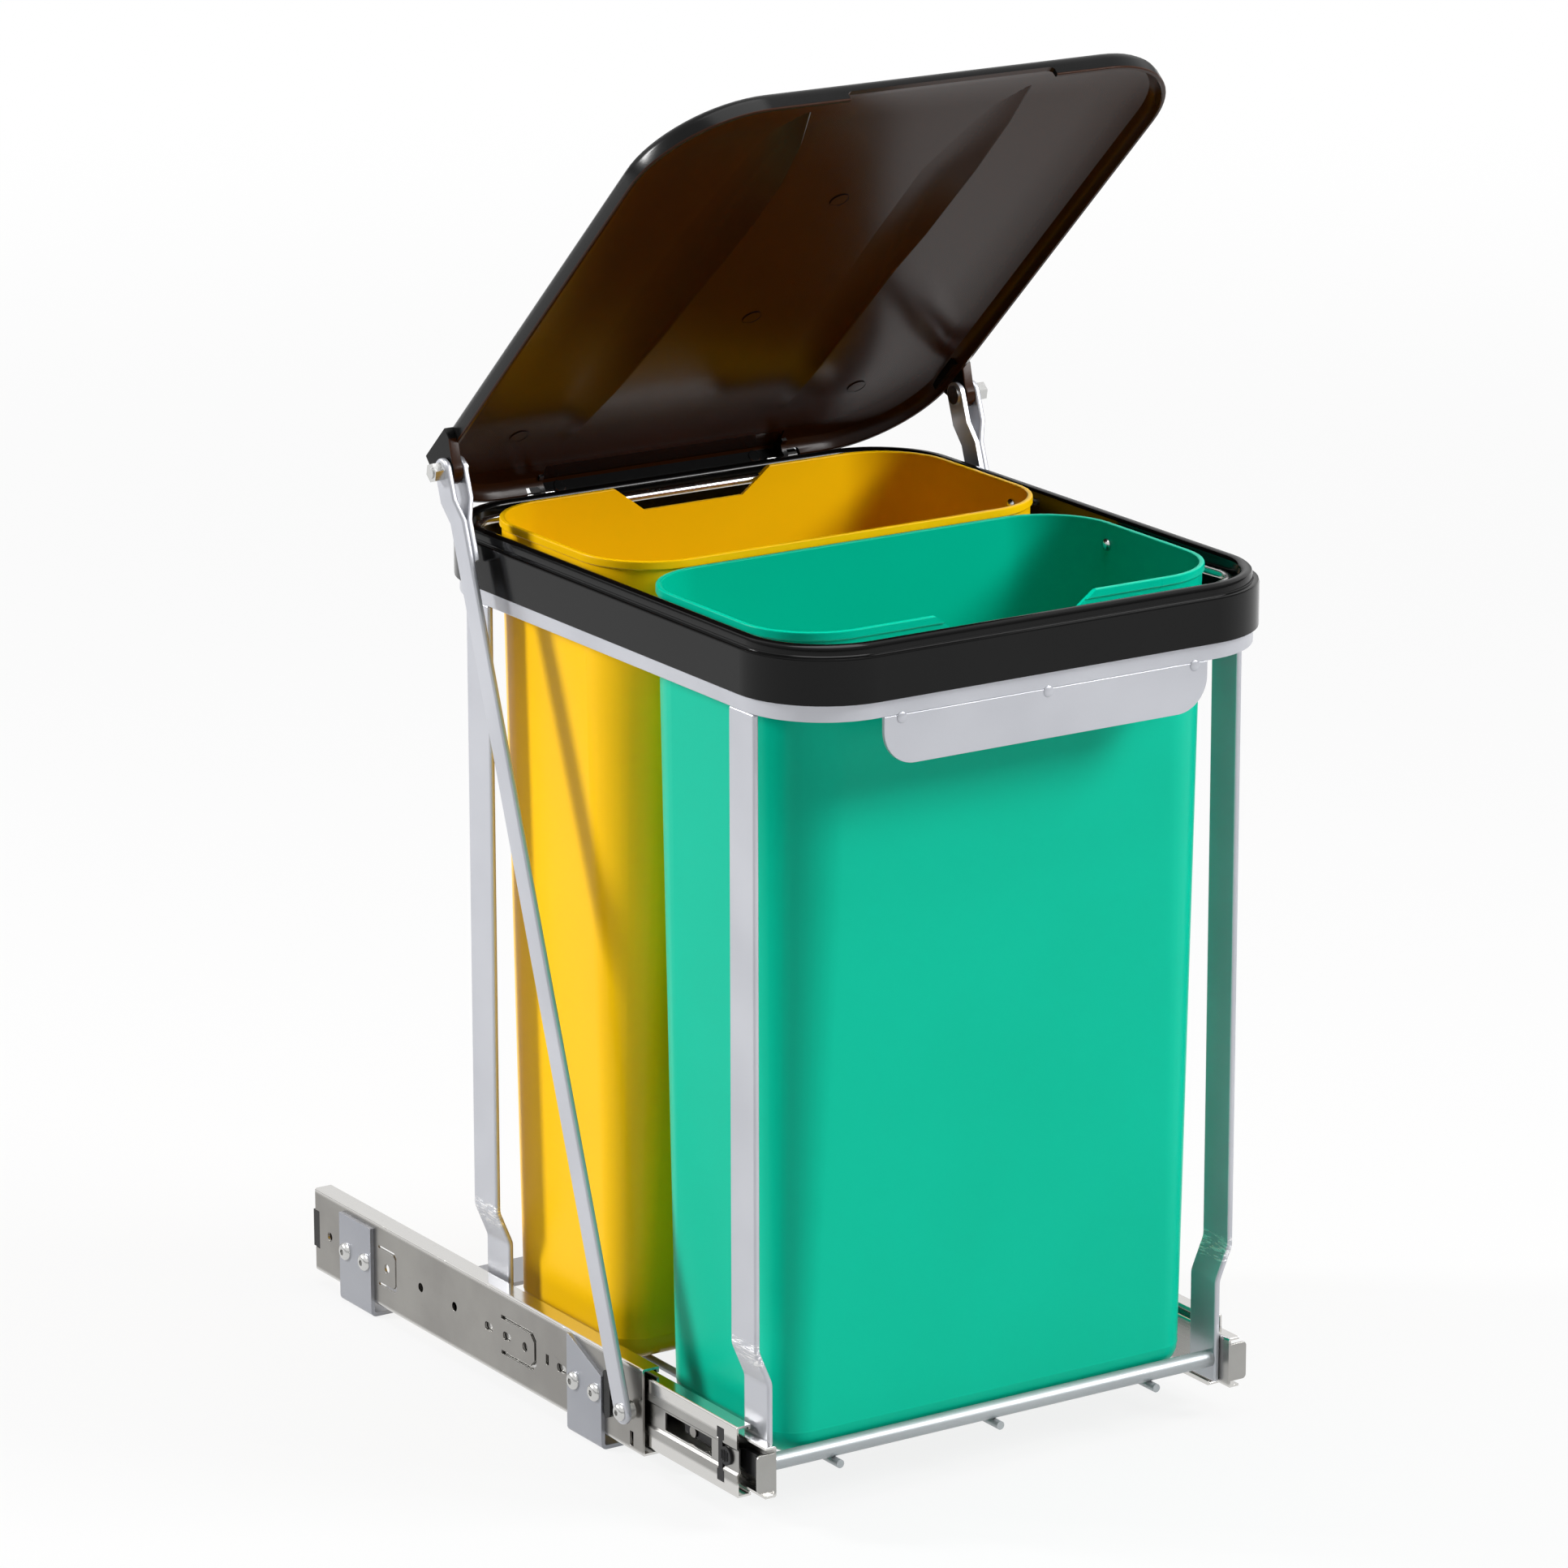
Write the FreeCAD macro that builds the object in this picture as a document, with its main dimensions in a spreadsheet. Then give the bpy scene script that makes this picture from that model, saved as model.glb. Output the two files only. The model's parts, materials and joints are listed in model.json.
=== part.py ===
import FreeCAD
import Part
import Sketcher
import math
import os

# A built-in waste bin on a pull-out carriage. X is the width, the bin pulls out towards -Y,
# and Z is up. The origin is on the cabinet floor, at the centre of the floor screw pattern.
# The part is drawn as photographed: pulled out by a third of its slide, with the lid half open.

os.makedirs("parts", exist_ok=True)
doc = FreeCAD.newDocument("pull_out_bin")

# Driving dimensions, in millimetres and degrees
SIZES = {
    "clearance": 0.3,
    "pin_fit": 0.05,
    # Cabinet members of the two slides
    "slide_length": 300,
    "slide_height": 42,
    "slide_bottom": 7,
    "web_face": 136,
    "sheet_gauge": 1.2,
    "outer_depth": 9,
    "outer_lip": 2.8,
    "web_hole": 4.5,
    # Middle members
    "middle_length": 292,
    "middle_height": 33.8,
    "middle_front": 225.3,
    "middle_face": 133.6,
    "middle_depth": 7.6,
    "middle_lip": 2.2,
    "emboss_height": 10.4,
    "emboss_depth": 1,
    # Carriage members
    "inner_length": 293,
    "inner_height": 24.2,
    "inner_front": 243.5,
    "inner_face": 124.3,
    "inner_depth": 5.9,
    "front_tab_width": 10,
    "front_tab_height": 18,
    "lever_gauge": 2.5,
    "lever_length": 66,
    "lever_pivot": 58,
    "lever_grip": 5.5,
    "lever_half_height": 3,
    "lever_rivet": 3,
    "lever_rivet_head": 5.2,
    # Ball cages
    "outer_ball": 2.8,
    "inner_ball": 3.5,
    "balls_in_row": 4,
    "ball_pitch": 26,
    "outer_cage_length": 110,
    "inner_cage_length": 120,
    "outer_cage_middle": 39,
    "inner_cage_middle": 86,
    "cage_gauge": 0.6,
    "cage_arm": 0.8,
    # Floor straps
    "strap_spacing": 210.6,
    "strap_shift": 2.9,
    "strap_gauge": 2,
    "front_strap_width": 30,
    "rear_strap_width": 30,
    "strap_height": 48,
    "strap_low_height": 36,
    "rear_strap_height": 45,
    "strap_bend": 3,
    "floor_hole_spacing": 180,
    "floor_hole": 5.5,
    "strap_screw": 4,
    "strap_screw_head": 9,
    "screw_head_height": 2.2,
    "strap_screw_height": 26.5,
    "strap_screw_pitch": 18.2,
    # Plastic stop in the middle member's web
    "stop_back": 13.5,
    "stop_wing_half_width": 2.8,
    "stop_neck_half_width": 1.7,
    "stop_half_height": 12.6,
    "stop_neck_half_height": 7.4,
    "thumb_back": 9.2,
    "thumb_diameter": 8.8,
    # Carriage frame
    "carriage_out": 115,
    "leg_face": 131,
    "leg_gauge": 3,
    "leg_width": 20,
    "leg_corner": 121.5,
    "foot_bottom": 17,
    "joggle_bottom": 66,
    "joggle_top": 82,
    "joggle_bend": 8,
    "band_bottom": 375.5,
    "band_height": 25,
    "band_gauge": 3,
    "pull_plate_width": 172,
    "pull_plate_height": 22.5,
    "pull_plate_gauge": 2,
    "pull_plate_corner": 16,
    # Rack on which the buckets stand
    "rod_diameter": 8,
    "rod_back": 4,
    "rack_wire": 4,
    "rack_wire_spacing": 87,
    "rack_wire_overhang": 6,
    "cross_wire_length": 180,
    "cross_wire_back": 2.5,
    "rear_bar_gauge": 3,
    # Plastic collar clipped on the band
    "collar_half_width": 134,
    "collar_half_depth": 158.5,
    "collar_corner": 44,
    "collar_wall": 2.3,
    "collar_fit": 0.2,
    "collar_width": 9,
    "shoulder_rise": 4,
    "shoulder_width": 3,
    "skirt_height": 21,
    "inner_skirt_height": 14.5,
    "bead_height": 5,
    "bead_round": 2.4,
    # Buckets
    "bucket_rim_width": 239,
    "bucket_rim_depth": 133,
    "bucket_rim_corner": 36,
    "bucket_base_width": 225,
    "bucket_base_depth": 100,
    "bucket_base_corner": 16,
    "bucket_base_round": 12,
    "bucket_wall": 2,
    "bucket_height": 384.7,
    "bucket_lip": 1,
    "bucket_lip_height": 4,
    "green_forward": 65,
    "yellow_back": 69.5,
    "yellow_step": 3,
    "notch_top": 86,
    "notch_bottom": 54,
    "notch_depth": 12,
    "bail_wire": 4,
    "bail_half_width": 122,
    "bail_pivot_drop": 10,
    "bail_pivot_offset": 29,
    "bail_length": 99,
    "bail_corner": 20,
    "bail_end_inside": 116,
    "bail_rise": 1.7,
    # Lid, measured from its hinge axis in its own plane
    "hinge_behind_collar": 3.5,
    "hinge_drop": 2.9,
    "lid_open": 43.5,
    "lid_half_width": 139.4,
    "lid_rear": 2.5,
    "lid_length": 321,
    "lid_corner": 51,
    "lid_rim_drop": 1.8,
    "lid_depth": 13,
    "lid_wall": 2.5,
    "lid_edge_round": 5,
    "hump_drop": 1.5,
    "ear_root_half_width": 12,
    "ear_root_rise": 2,
    "panel_half_width": 68.5,
    "panel_back": 3,
    "barrel_radius": 3,
    "hinge_pin": 3,
    "hinge_pin_length": 16,
    "knuckle_radius": 4,
    "knuckle_width": 6,
    "knuckle_gap": 0.5,
    "knuckle_room": 1.6,
    # Linkage from the slides to the lid
    "pivot_out": 142.7,
    "pivot_height": 28,
    "fork_out": 54.9,
    "fork_drop": 9.4,
    "arm_gauge": 3,
    "arm_width": 12,
    "arm_face": 140.5,
    "fork_face": 143.5,
    "fork_end": 6,
    "joggle_start": 14,
    "joggle_length": 10,
    "strip_gauge": 2.5,
    "strip_face": 135.3,
    "strip_length": 43,
    "ear_inner_face": 138.2,
    "ear_width": 5,
    "ear_round": 6.5,
    "fork_bolt": 5,
    "fork_bolt_head": 0.9,
    "arm_rivet": 4,
    "arm_rivet_head": 8.4,
    "rivet_inner_end": 137.5,
}

sheet = doc.addObject("Spreadsheet::Sheet", "Sizes")
for row, (alias, number) in enumerate(SIZES.items(), start=1):
    sheet.set("A%d" % row, alias)
    sheet.set("B%d" % row, str(number))
    sheet.setAlias("B%d" % row, alias)
doc.recompute()


# Helpers

def value(text):
    """The number that an expression on the sheet's sizes gives."""
    result = sheet.evalExpression(str(text))
    return float(getattr(result, "Value", result))


def bound(text):
    """The same expression as another object of the document writes it."""
    words = []
    word = ""
    for letter in str(text) + " ":
        if letter.isalnum() or letter == "_":
            word += letter
            continue
        words.append("Sizes." + word if word in SIZES else word)
        words.append(letter)
        word = ""
    return "".join(words).strip()


def tie(item, name, text):
    """Bind one property or constraint to the sheet."""
    item.setExpression(name, bound(text))


def new_body(label):
    body = doc.addObject("PartDesign::Body", label)
    body.Label = label
    return body


PLANES = {"X": "YZ_Plane", "Y": "XZ_Plane", "Z": "XY_Plane"}


def new_sketch(body, axis, place="0"):
    """A sketch square to the X, Y or Z axis, at a place along it."""
    plane = [item for item in body.Origin.OriginFeatures if item.Role == PLANES[axis]][0]
    sketch = body.newObject("Sketcher::SketchObject", "Sketch")
    sketch.AttachmentSupport = [(plane, "")]
    sketch.MapMode = "FlatFace"
    sign = "-1" if axis == "Y" else "1"
    tie(sketch, "AttachmentOffset.Base.z", "%s * (%s)" % (sign, place))
    return sketch


def tie_point(sketch, item, point, x, y):
    for kind, text in (("DistanceX", x), ("DistanceY", y)):
        index = sketch.addConstraint(Sketcher.Constraint(kind, -1, 1, item, point, value(text)))
        sketch.setExpression("Constraints[%d]" % index, bound(text))


def polygon(sketch, corners):
    """A closed outline of straight edges through corners given as pairs of expressions."""
    spots = [FreeCAD.Vector(value(x), value(y), 0) for x, y in corners]
    count = len(spots)
    first = sketch.GeometryCount
    for number in range(count):
        sketch.addGeometry(Part.LineSegment(spots[number], spots[(number + 1) % count]), False)
    for number in range(count):
        following = first + (number + 1) % count
        sketch.addConstraint(Sketcher.Constraint("Coincident", first + number, 2, following, 1))
    for number, (x, y) in enumerate(corners):
        tie_point(sketch, first + number, 1, x, y)


def rectangle(sketch, left, right, low, high):
    polygon(sketch, [(left, low), (right, low), (right, high), (left, high)])


def circle(sketch, x, y, diameter):
    centre = FreeCAD.Vector(value(x), value(y), 0)
    ring = Part.Circle(centre, FreeCAD.Vector(0, 0, 1), value(diameter) / 2)
    item = sketch.addGeometry(ring, False)
    index = sketch.addConstraint(Sketcher.Constraint("Diameter", item, value(diameter)))
    sketch.setExpression("Constraints[%d]" % index, bound(diameter))
    tie_point(sketch, item, 3, x, y)


def rounded_rectangle(sketch, left, right, low, high, corner):
    """A rectangle with four tangent corner arcs, its sides and its radius bound to the sheet."""
    x0, x1, y0, y1, r = [value(text) for text in (left, right, low, high, corner)]
    up = FreeCAD.Vector(0, 0, 1)
    first = sketch.GeometryCount
    sides = [((x0 + r, y0), (x1 - r, y0)), ((x1, y0 + r), (x1, y1 - r)),
             ((x1 - r, y1), (x0 + r, y1)), ((x0, y1 - r), (x0, y0 + r))]
    middles = [(x1 - r, y0 + r), (x1 - r, y1 - r), (x0 + r, y1 - r), (x0 + r, y0 + r)]
    for number in range(4):
        start, end = [FreeCAD.Vector(x, y, 0) for x, y in sides[number]]
        sketch.addGeometry(Part.LineSegment(start, end), False)
        ring = Part.Circle(FreeCAD.Vector(middles[number][0], middles[number][1], 0), up, r)
        turn = math.radians(90 * (number - 1))
        sketch.addGeometry(Part.ArcOfCircle(ring, turn, turn + math.pi / 2), False)
    for number in range(4):
        line = first + 2 * number
        arc = line + 1
        following = first + (2 * number + 2) % 8
        sketch.addConstraint(Sketcher.Constraint("Tangent", line, 2, arc, 1))
        sketch.addConstraint(Sketcher.Constraint("Tangent", arc, 2, following, 1))
        kind = "Horizontal" if number % 2 == 0 else "Vertical"
        sketch.addConstraint(Sketcher.Constraint(kind, line))
        index = sketch.addConstraint(Sketcher.Constraint("Radius", arc, r))
        sketch.setExpression("Constraints[%d]" % index, bound(corner))
    for line, kind, text in ((0, "DistanceY", low), (2, "DistanceX", right),
                             (4, "DistanceY", high), (6, "DistanceX", left)):
        index = sketch.addConstraint(Sketcher.Constraint(kind, -1, 1, first + line, 1, value(text)))
        sketch.setExpression("Constraints[%d]" % index, bound(text))


def pad(body, sketch, length, backwards=False):
    """Material from the sketch along its axis, or against it."""
    feature = body.newObject("PartDesign::Pad", "Pad")
    feature.Profile = sketch
    tie(feature, "Length", length)
    # A sketch square to Y faces -Y.
    faces_back = "XZ" in sketch.AttachmentSupport[0][0].Name
    feature.Reversed = backwards != faces_back
    doc.recompute()
    return feature


def pocket(body, sketch, depth, backwards=False):
    """A cut from the sketch along its axis, or against it, that has to take material away."""
    before = body.Shape.Volume
    feature = body.newObject("PartDesign::Pocket", "Pocket")
    feature.Profile = sketch
    tie(feature, "Length", depth)
    faces_back = "XZ" in sketch.AttachmentSupport[0][0].Name
    feature.Reversed = backwards == faces_back
    doc.recompute()
    if body.Shape.Volume > before - 0.01:
        raise RuntimeError("A cut in %s takes nothing away" % body.Label)
    return feature


def edge_names(feature, wanted):
    return ["Edge%d" % (number + 1) for number, edge in enumerate(feature.Shape.Edges) if wanted(edge)]


def fillet(body, feature, wanted, radius):
    """Round the edges of a feature that a test picks by their place."""
    names = edge_names(feature, wanted)
    if not names:
        raise RuntimeError("No edge to round on %s" % body.Label)
    rounded = body.newObject("PartDesign::Fillet", "Fillet")
    rounded.Base = (feature, names)
    tie(rounded, "Radius", radius)
    doc.recompute()
    return rounded


def runs_along(edge, axis):
    """Whether an edge is straight and parallel to X, Y or Z."""
    if edge.Curve.TypeId != "Part::GeomLine":
        return False
    step = edge.Vertexes[-1].Point - edge.Vertexes[0].Point
    return abs(abs(step["XYZ".index(axis)]) - step.Length) < 1e-6


def near(number, target, slack=0.01):
    return abs(number - target) < slack


def cylinder(label, diameter, length, x, y, z, axis="Z"):
    """A round bar from a point along an axis."""
    bar = doc.addObject("Part::Cylinder", label)
    bar.Label = label
    tie(bar, "Radius", "(%s) / 2" % diameter)
    tie(bar, "Height", length)
    turns = {"X": (FreeCAD.Vector(0, 1, 0), 90), "Y": (FreeCAD.Vector(1, 0, 0), -90),
             "Z": (FreeCAD.Vector(0, 0, 1), 0)}
    bar.Placement = FreeCAD.Placement(FreeCAD.Vector(0, 0, 0), FreeCAD.Rotation(*turns[axis]))
    for name, text in (("x", x), ("y", y), ("z", z)):
        tie(bar, "Placement.Base." + name, text)
    return bar


def shape_piece(label, shape):
    """A piece whose form is made from the sheet's sizes in code."""
    piece = doc.addObject("Part::Feature", label)
    piece.Label = label
    piece.Shape = shape
    return piece


def mirrored(piece, label):
    """The right-hand twin of a left-hand piece."""
    twin = doc.addObject("Part::Mirroring", label)
    twin.Label = label
    twin.Source = piece
    twin.Base = FreeCAD.Vector(0, 0, 0)
    twin.Normal = FreeCAD.Vector(1, 0, 0)
    return twin


PIECES = []


def keep(*pieces):
    PIECES.extend(pieces)
    return pieces[0]


def keep_pair(piece, name):
    """Keep a left-hand piece and its right-hand twin."""
    piece.Label = "left_" + name
    return keep(piece, mirrored(piece, "right_" + name))


# Places that several pieces share, as expressions on the sheet

SLIDE_MIDDLE = "slide_bottom + slide_height / 2"
SLIDE_FRONT = "-slide_length / 2"
SLIDE_REAR = "slide_length / 2"
FRONT_STRAP = "-strap_spacing / 2 + strap_shift"
REAR_STRAP = "strap_spacing / 2 + strap_shift"
CARRIAGE = "-carriage_out"
FOOT_INNER = "inner_face - leg_gauge"
FRONT_LEG_FRONT = "-carriage_out - leg_corner"
REAR_LEG_REAR = "-carriage_out + leg_corner"
BAND_HALF_WIDTH = "collar_half_width - collar_wall - collar_fit"
BAND_HALF_DEPTH = "collar_half_depth - collar_wall - collar_fit"
BAND_CORNER = "collar_corner - collar_wall - collar_fit"
BAND_TOP = "band_bottom + band_height"
ROD_HEIGHT = "slide_bottom + slide_height / 2"
WIRE_TOP = "slide_bottom + slide_height / 2 - rod_diameter / 2"
SHOULDER = "band_bottom + band_height + shoulder_rise"
SKIRT_BOTTOM = SHOULDER + " - skirt_height"
INNER_SKIRT_BOTTOM = SHOULDER + " - inner_skirt_height"
BEAD_TOP = SHOULDER + " + bead_height"
HINGE_Y = "-carriage_out + collar_half_depth + hinge_behind_collar"
HINGE_Z = BEAD_TOP + " - hinge_drop"


# Slide members: rolled steel channels, drawn in section and cut through the web

def half_section_to_full(points):
    """Corners of the upper half of a channel, then the same ones mirrored below."""
    upper = [(x, "%s + (%s)" % (SLIDE_MIDDLE, h)) for x, h in points]
    lower = [(x, "%s - (%s)" % (SLIDE_MIDDLE, h)) for x, h in reversed(points)]
    return upper + lower


def web_cuts(body, face, depth, shapes):
    """Cut holes, slots and windows through a web whose outer face is at a given half width."""
    for kind, numbers in shapes:
        sketch = new_sketch(body, "X", "-(%s)" % face)
        if kind == "hole":
            y, h, diameter = numbers
            circle(sketch, y, "%s + %s" % (SLIDE_MIDDLE, h), diameter)
        elif kind == "tongue":
            tongue_outline(sketch, *numbers)
        else:
            y, h, length, height = numbers
            low = "%s + %s - (%s) / 2" % (SLIDE_MIDDLE, h, height)
            high = "%s + %s + (%s) / 2" % (SLIDE_MIDDLE, h, height)
            ends = ("(%s) - (%s) / 2" % (y, length), "(%s) + (%s) / 2" % (y, length), low, high)
            if kind == "slot":
                rounded_rectangle(sketch, *ends, "(%s) * 0.45" % height)
            else:
                rectangle(sketch, *ends)
        pocket(body, sketch, depth)


def tongue_outline(sketch, free, root, half, gap, corner):
    """The narrow cut round a tongue that stays joined to the web at its rear."""
    inner = "(%s) + %s" % (free, gap)
    reach = "%s - %s" % (half, gap)
    upper = [(root, half), ("(%s) + %s" % (free, corner), half), (free, "%s - %s" % (half, corner))]
    within = [(inner, "%s - %s" % (reach, corner)), ("%s + %s" % (inner, corner), reach), (root, reach)]
    outline = [(y, "%s + %s" % (SLIDE_MIDDLE, h)) for y, h in upper]
    outline += [(y, "%s - (%s)" % (SLIDE_MIDDLE, h)) for y, h in reversed(upper)]
    outline += [(y, "%s - (%s)" % (SLIDE_MIDDLE, h)) for y, h in reversed(within)]
    outline += [(y, "%s + %s" % (SLIDE_MIDDLE, h)) for y, h in within]
    polygon(sketch, outline)


def outer_slide():
    """Cabinet member: an open channel with lips that hold the outer rows of balls."""
    body = new_body("left_outer_slide")
    half = "slide_height / 2"
    inner = "web_face - outer_depth"
    section = [
        ("-web_face", half),
        ("-(%s)" % inner, half),
        ("-(%s)" % inner, "slide_height / 2 - outer_lip"),
        ("-(%s) - sheet_gauge" % inner, "slide_height / 2 - outer_lip"),
        ("-(%s) - sheet_gauge" % inner, "slide_height / 2 - sheet_gauge"),
        ("-web_face + sheet_gauge", "slide_height / 2 - sheet_gauge"),
    ]
    sketch = new_sketch(body, "Y", SLIDE_FRONT)
    corners = half_section_to_full(section)
    polygon(sketch, corners)
    channel = pad(body, sketch, "slide_length")
    outside = value("-web_face")
    fillet(body, channel, lambda edge: runs_along(edge, "Y") and near(edge.Vertexes[0].X, outside),
           "sheet_gauge * 0.9")
    web_cuts(body, "web_face", "sheet_gauge", [
        ("window", (SLIDE_REAR + " - 1.5", "0.5", "5", "19")),
        ("hole", (SLIDE_REAR + " - 14", "0", "web_hole")),
        ("hole", (SLIDE_REAR + " - 69", "0", "web_hole")),
        ("tongue", (SLIDE_REAR + " - 78.2", SLIDE_REAR + " - 61", "10", "1.4", "2")),
        ("hole", (SLIDE_REAR + " - 101", "0.3", "web_hole")),
        ("hole", (SLIDE_REAR + " - 132.5", "0.3", "web_hole")),
        ("slot", (SLIDE_FRONT + " + 136", "0", "7", "4")),
        ("slot", (SLIDE_FRONT + " + 119.5", "0", "7", "4")),
        ("hole", (SLIDE_FRONT + " + 103.2", "0", "web_hole")),
        ("tongue", (SLIDE_FRONT + " + 93", SLIDE_FRONT + " + 124.5", "9.6", "1.8", "3.5")),
        ("window", (SLIDE_FRONT + " + 83.2", "0", "2.6", "5")),
        ("slot", (SLIDE_FRONT + " + 70.5", "-0.5", "8", "4")),
        ("window", (SLIDE_FRONT + " + 9.5", "-15", "3", "7")),
    ])
    return body


def middle_slide():
    """Middle member: a channel with a pressed-in web, a window and the cut for its stop."""
    body = new_body("left_middle_slide")
    face = "-middle_face"
    inner = "middle_face - middle_depth"
    emboss = "emboss_height / 2"
    section = [
        (face + " + emboss_depth", emboss),
        (face, emboss + " + emboss_depth"),
        (face, "middle_height / 2"),
        ("-(%s)" % inner, "middle_height / 2"),
        ("-(%s)" % inner, "middle_height / 2 - middle_lip"),
        ("-(%s) - sheet_gauge" % inner, "middle_height / 2 - middle_lip"),
        ("-(%s) - sheet_gauge" % inner, "middle_height / 2 - sheet_gauge"),
        (face + " + sheet_gauge", "middle_height / 2 - sheet_gauge"),
        (face + " + sheet_gauge", emboss + " + emboss_depth + 0.5"),
        (face + " + sheet_gauge + emboss_depth", emboss + " + 0.5"),
    ]
    sketch = new_sketch(body, "Y", "-middle_front")
    polygon(sketch, half_section_to_full(section))
    channel = pad(body, sketch, "middle_length")
    outside = value(face)
    half = value("middle_height / 2")
    fillet(body, channel, lambda edge: runs_along(edge, "Y") and near(edge.Vertexes[0].X, outside)
           and near(abs(edge.Vertexes[0].Z - value(SLIDE_MIDDLE)), half), "sheet_gauge * 0.9")
    web_cuts(body, "middle_face", "sheet_gauge + emboss_depth", [
        ("window", ("-middle_front + 42", "0", "39", "8.6")),
    ])
    cut = new_sketch(body, "X", "-middle_face")
    polygon(cut, stop_outline("0.1"))
    pocket(body, cut, "sheet_gauge + emboss_depth")
    return body


def stop_outline(room):
    """The bow-tie outline of the plastic stop, and of the cut that takes it."""
    y = "-middle_front + stop_back"
    wide = "stop_wing_half_width + %s" % room
    neck = "stop_neck_half_width + %s" % room
    tall = "stop_half_height + %s" % room
    step = "stop_neck_half_height - %s" % room
    right = [("%s - (%s)" % (y, wide), "%s - (%s)" % (SLIDE_MIDDLE, tall)),
             ("%s + (%s)" % (y, wide), "%s - (%s)" % (SLIDE_MIDDLE, tall)),
             ("%s + (%s)" % (y, wide), "%s - (%s)" % (SLIDE_MIDDLE, step)),
             ("%s + (%s)" % (y, neck), "%s - (%s)" % (SLIDE_MIDDLE, step)),
             ("%s + (%s)" % (y, neck), "%s + (%s)" % (SLIDE_MIDDLE, step)),
             ("%s + (%s)" % (y, wide), "%s + (%s)" % (SLIDE_MIDDLE, step)),
             ("%s + (%s)" % (y, wide), "%s + (%s)" % (SLIDE_MIDDLE, tall)),
             ("%s - (%s)" % (y, wide), "%s + (%s)" % (SLIDE_MIDDLE, tall)),
             ("%s - (%s)" % (y, wide), "%s + (%s)" % (SLIDE_MIDDLE, step)),
             ("%s - (%s)" % (y, neck), "%s + (%s)" % (SLIDE_MIDDLE, step)),
             ("%s - (%s)" % (y, neck), "%s - (%s)" % (SLIDE_MIDDLE, step)),
             ("%s - (%s)" % (y, wide), "%s - (%s)" % (SLIDE_MIDDLE, step))]
    return right


def middle_stop():
    """Black plastic stop clipped through the middle member's web, with a round thumb pad."""
    body = new_body("left_middle_stop")
    sketch = new_sketch(body, "X", "-middle_face")
    polygon(sketch, stop_outline("0"))
    pad(body, sketch, "sheet_gauge + emboss_depth")
    thumb = new_sketch(body, "X", "-middle_face - 0.2")
    circle(thumb, "-middle_front + thumb_back", SLIDE_MIDDLE + " + 0.5", "thumb_diameter")
    pad(body, thumb, "emboss_depth + 0.2 - 0.05")
    return body


def inner_slide():
    """Carriage member: a channel open to the outside, its front end turned out as a tab."""
    body = new_body("left_inner_slide")
    face = "-inner_face"
    section = [
        (face, "inner_height / 2"),
        (face + " - inner_depth", "inner_height / 2"),
        (face + " - inner_depth", "inner_height / 2 - sheet_gauge"),
        (face + " - sheet_gauge", "inner_height / 2 - sheet_gauge"),
    ]
    sketch = new_sketch(body, "Y", "-inner_front")
    polygon(sketch, half_section_to_full(section))
    channel = pad(body, sketch, "inner_length")
    inside = value(face)
    fillet(body, channel, lambda edge: runs_along(edge, "Y") and near(edge.Vertexes[0].X, inside),
           "sheet_gauge * 0.9")
    tab = new_sketch(body, "Y", "-inner_front")
    rectangle(tab, face + " - front_tab_width", face + " - sheet_gauge / 2",
              "%s - front_tab_height / 2" % SLIDE_MIDDLE, "%s + front_tab_height / 2" % SLIDE_MIDDLE)
    plate = pad(body, tab, "sheet_gauge")
    tip = value(face + " - front_tab_width")
    fillet(body, plate, lambda edge: runs_along(edge, "Y") and near(edge.Vertexes[0].X, tip), "2")
    return body


LEVER_FRONT = "-inner_front + 3.5"


def release_lever():
    """Black plastic lever in the carriage member: pressed, it frees the carriage from the slide."""
    body = new_body("left_release_lever")
    outer_face = "-inner_face - sheet_gauge - clearance - lever_gauge"
    upper = [(LEVER_FRONT, "lever_grip"), (LEVER_FRONT + " + 14", "lever_grip"),
             (LEVER_FRONT + " + 24", "lever_half_height"),
             (LEVER_FRONT + " + lever_length", "lever_half_height")]
    outline = [(y, "%s + %s" % (SLIDE_MIDDLE, h)) for y, h in upper]
    outline += [(y, "%s - %s" % (SLIDE_MIDDLE, h)) for y, h in reversed(upper)]
    sketch = new_sketch(body, "X", outer_face)
    polygon(sketch, outline)
    pad(body, sketch, "lever_gauge")
    ridges = new_sketch(body, "X", outer_face + " - 0.8")
    for start in ("1", "5"):
        left = "%s + %s" % (LEVER_FRONT, start)
        rectangle(ridges, left, left + " + 2", "%s - lever_grip + 0.5" % SLIDE_MIDDLE,
                  "%s + lever_grip - 0.5" % SLIDE_MIDDLE)
    pad(body, ridges, "1")
    hole = new_sketch(body, "X", outer_face)
    circle(hole, LEVER_FRONT + " + lever_pivot", SLIDE_MIDDLE, "lever_rivet + 2 * pin_fit")
    pocket(body, hole, "lever_gauge")
    return body


def lever_rivet():
    """Rivet in the carriage member's web on which the release lever turns."""
    seat = value("-(inner_face + sheet_gauge)")
    length = value("lever_gauge + 2 * clearance")
    y = value(LEVER_FRONT + " + lever_pivot")
    outward = FreeCAD.Vector(-1, 0, 0)
    shank = Part.makeCylinder(value("lever_rivet / 2"), length + 0.3,
                              FreeCAD.Vector(seat, y, value(SLIDE_MIDDLE)), outward)
    head = Part.makeCylinder(value("lever_rivet_head / 2"), 0.7,
                             FreeCAD.Vector(seat - length, y, value(SLIDE_MIDDLE)), outward)
    return shape_piece("left_lever_rivet", shank.fuse(head).removeSplitter())


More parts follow.
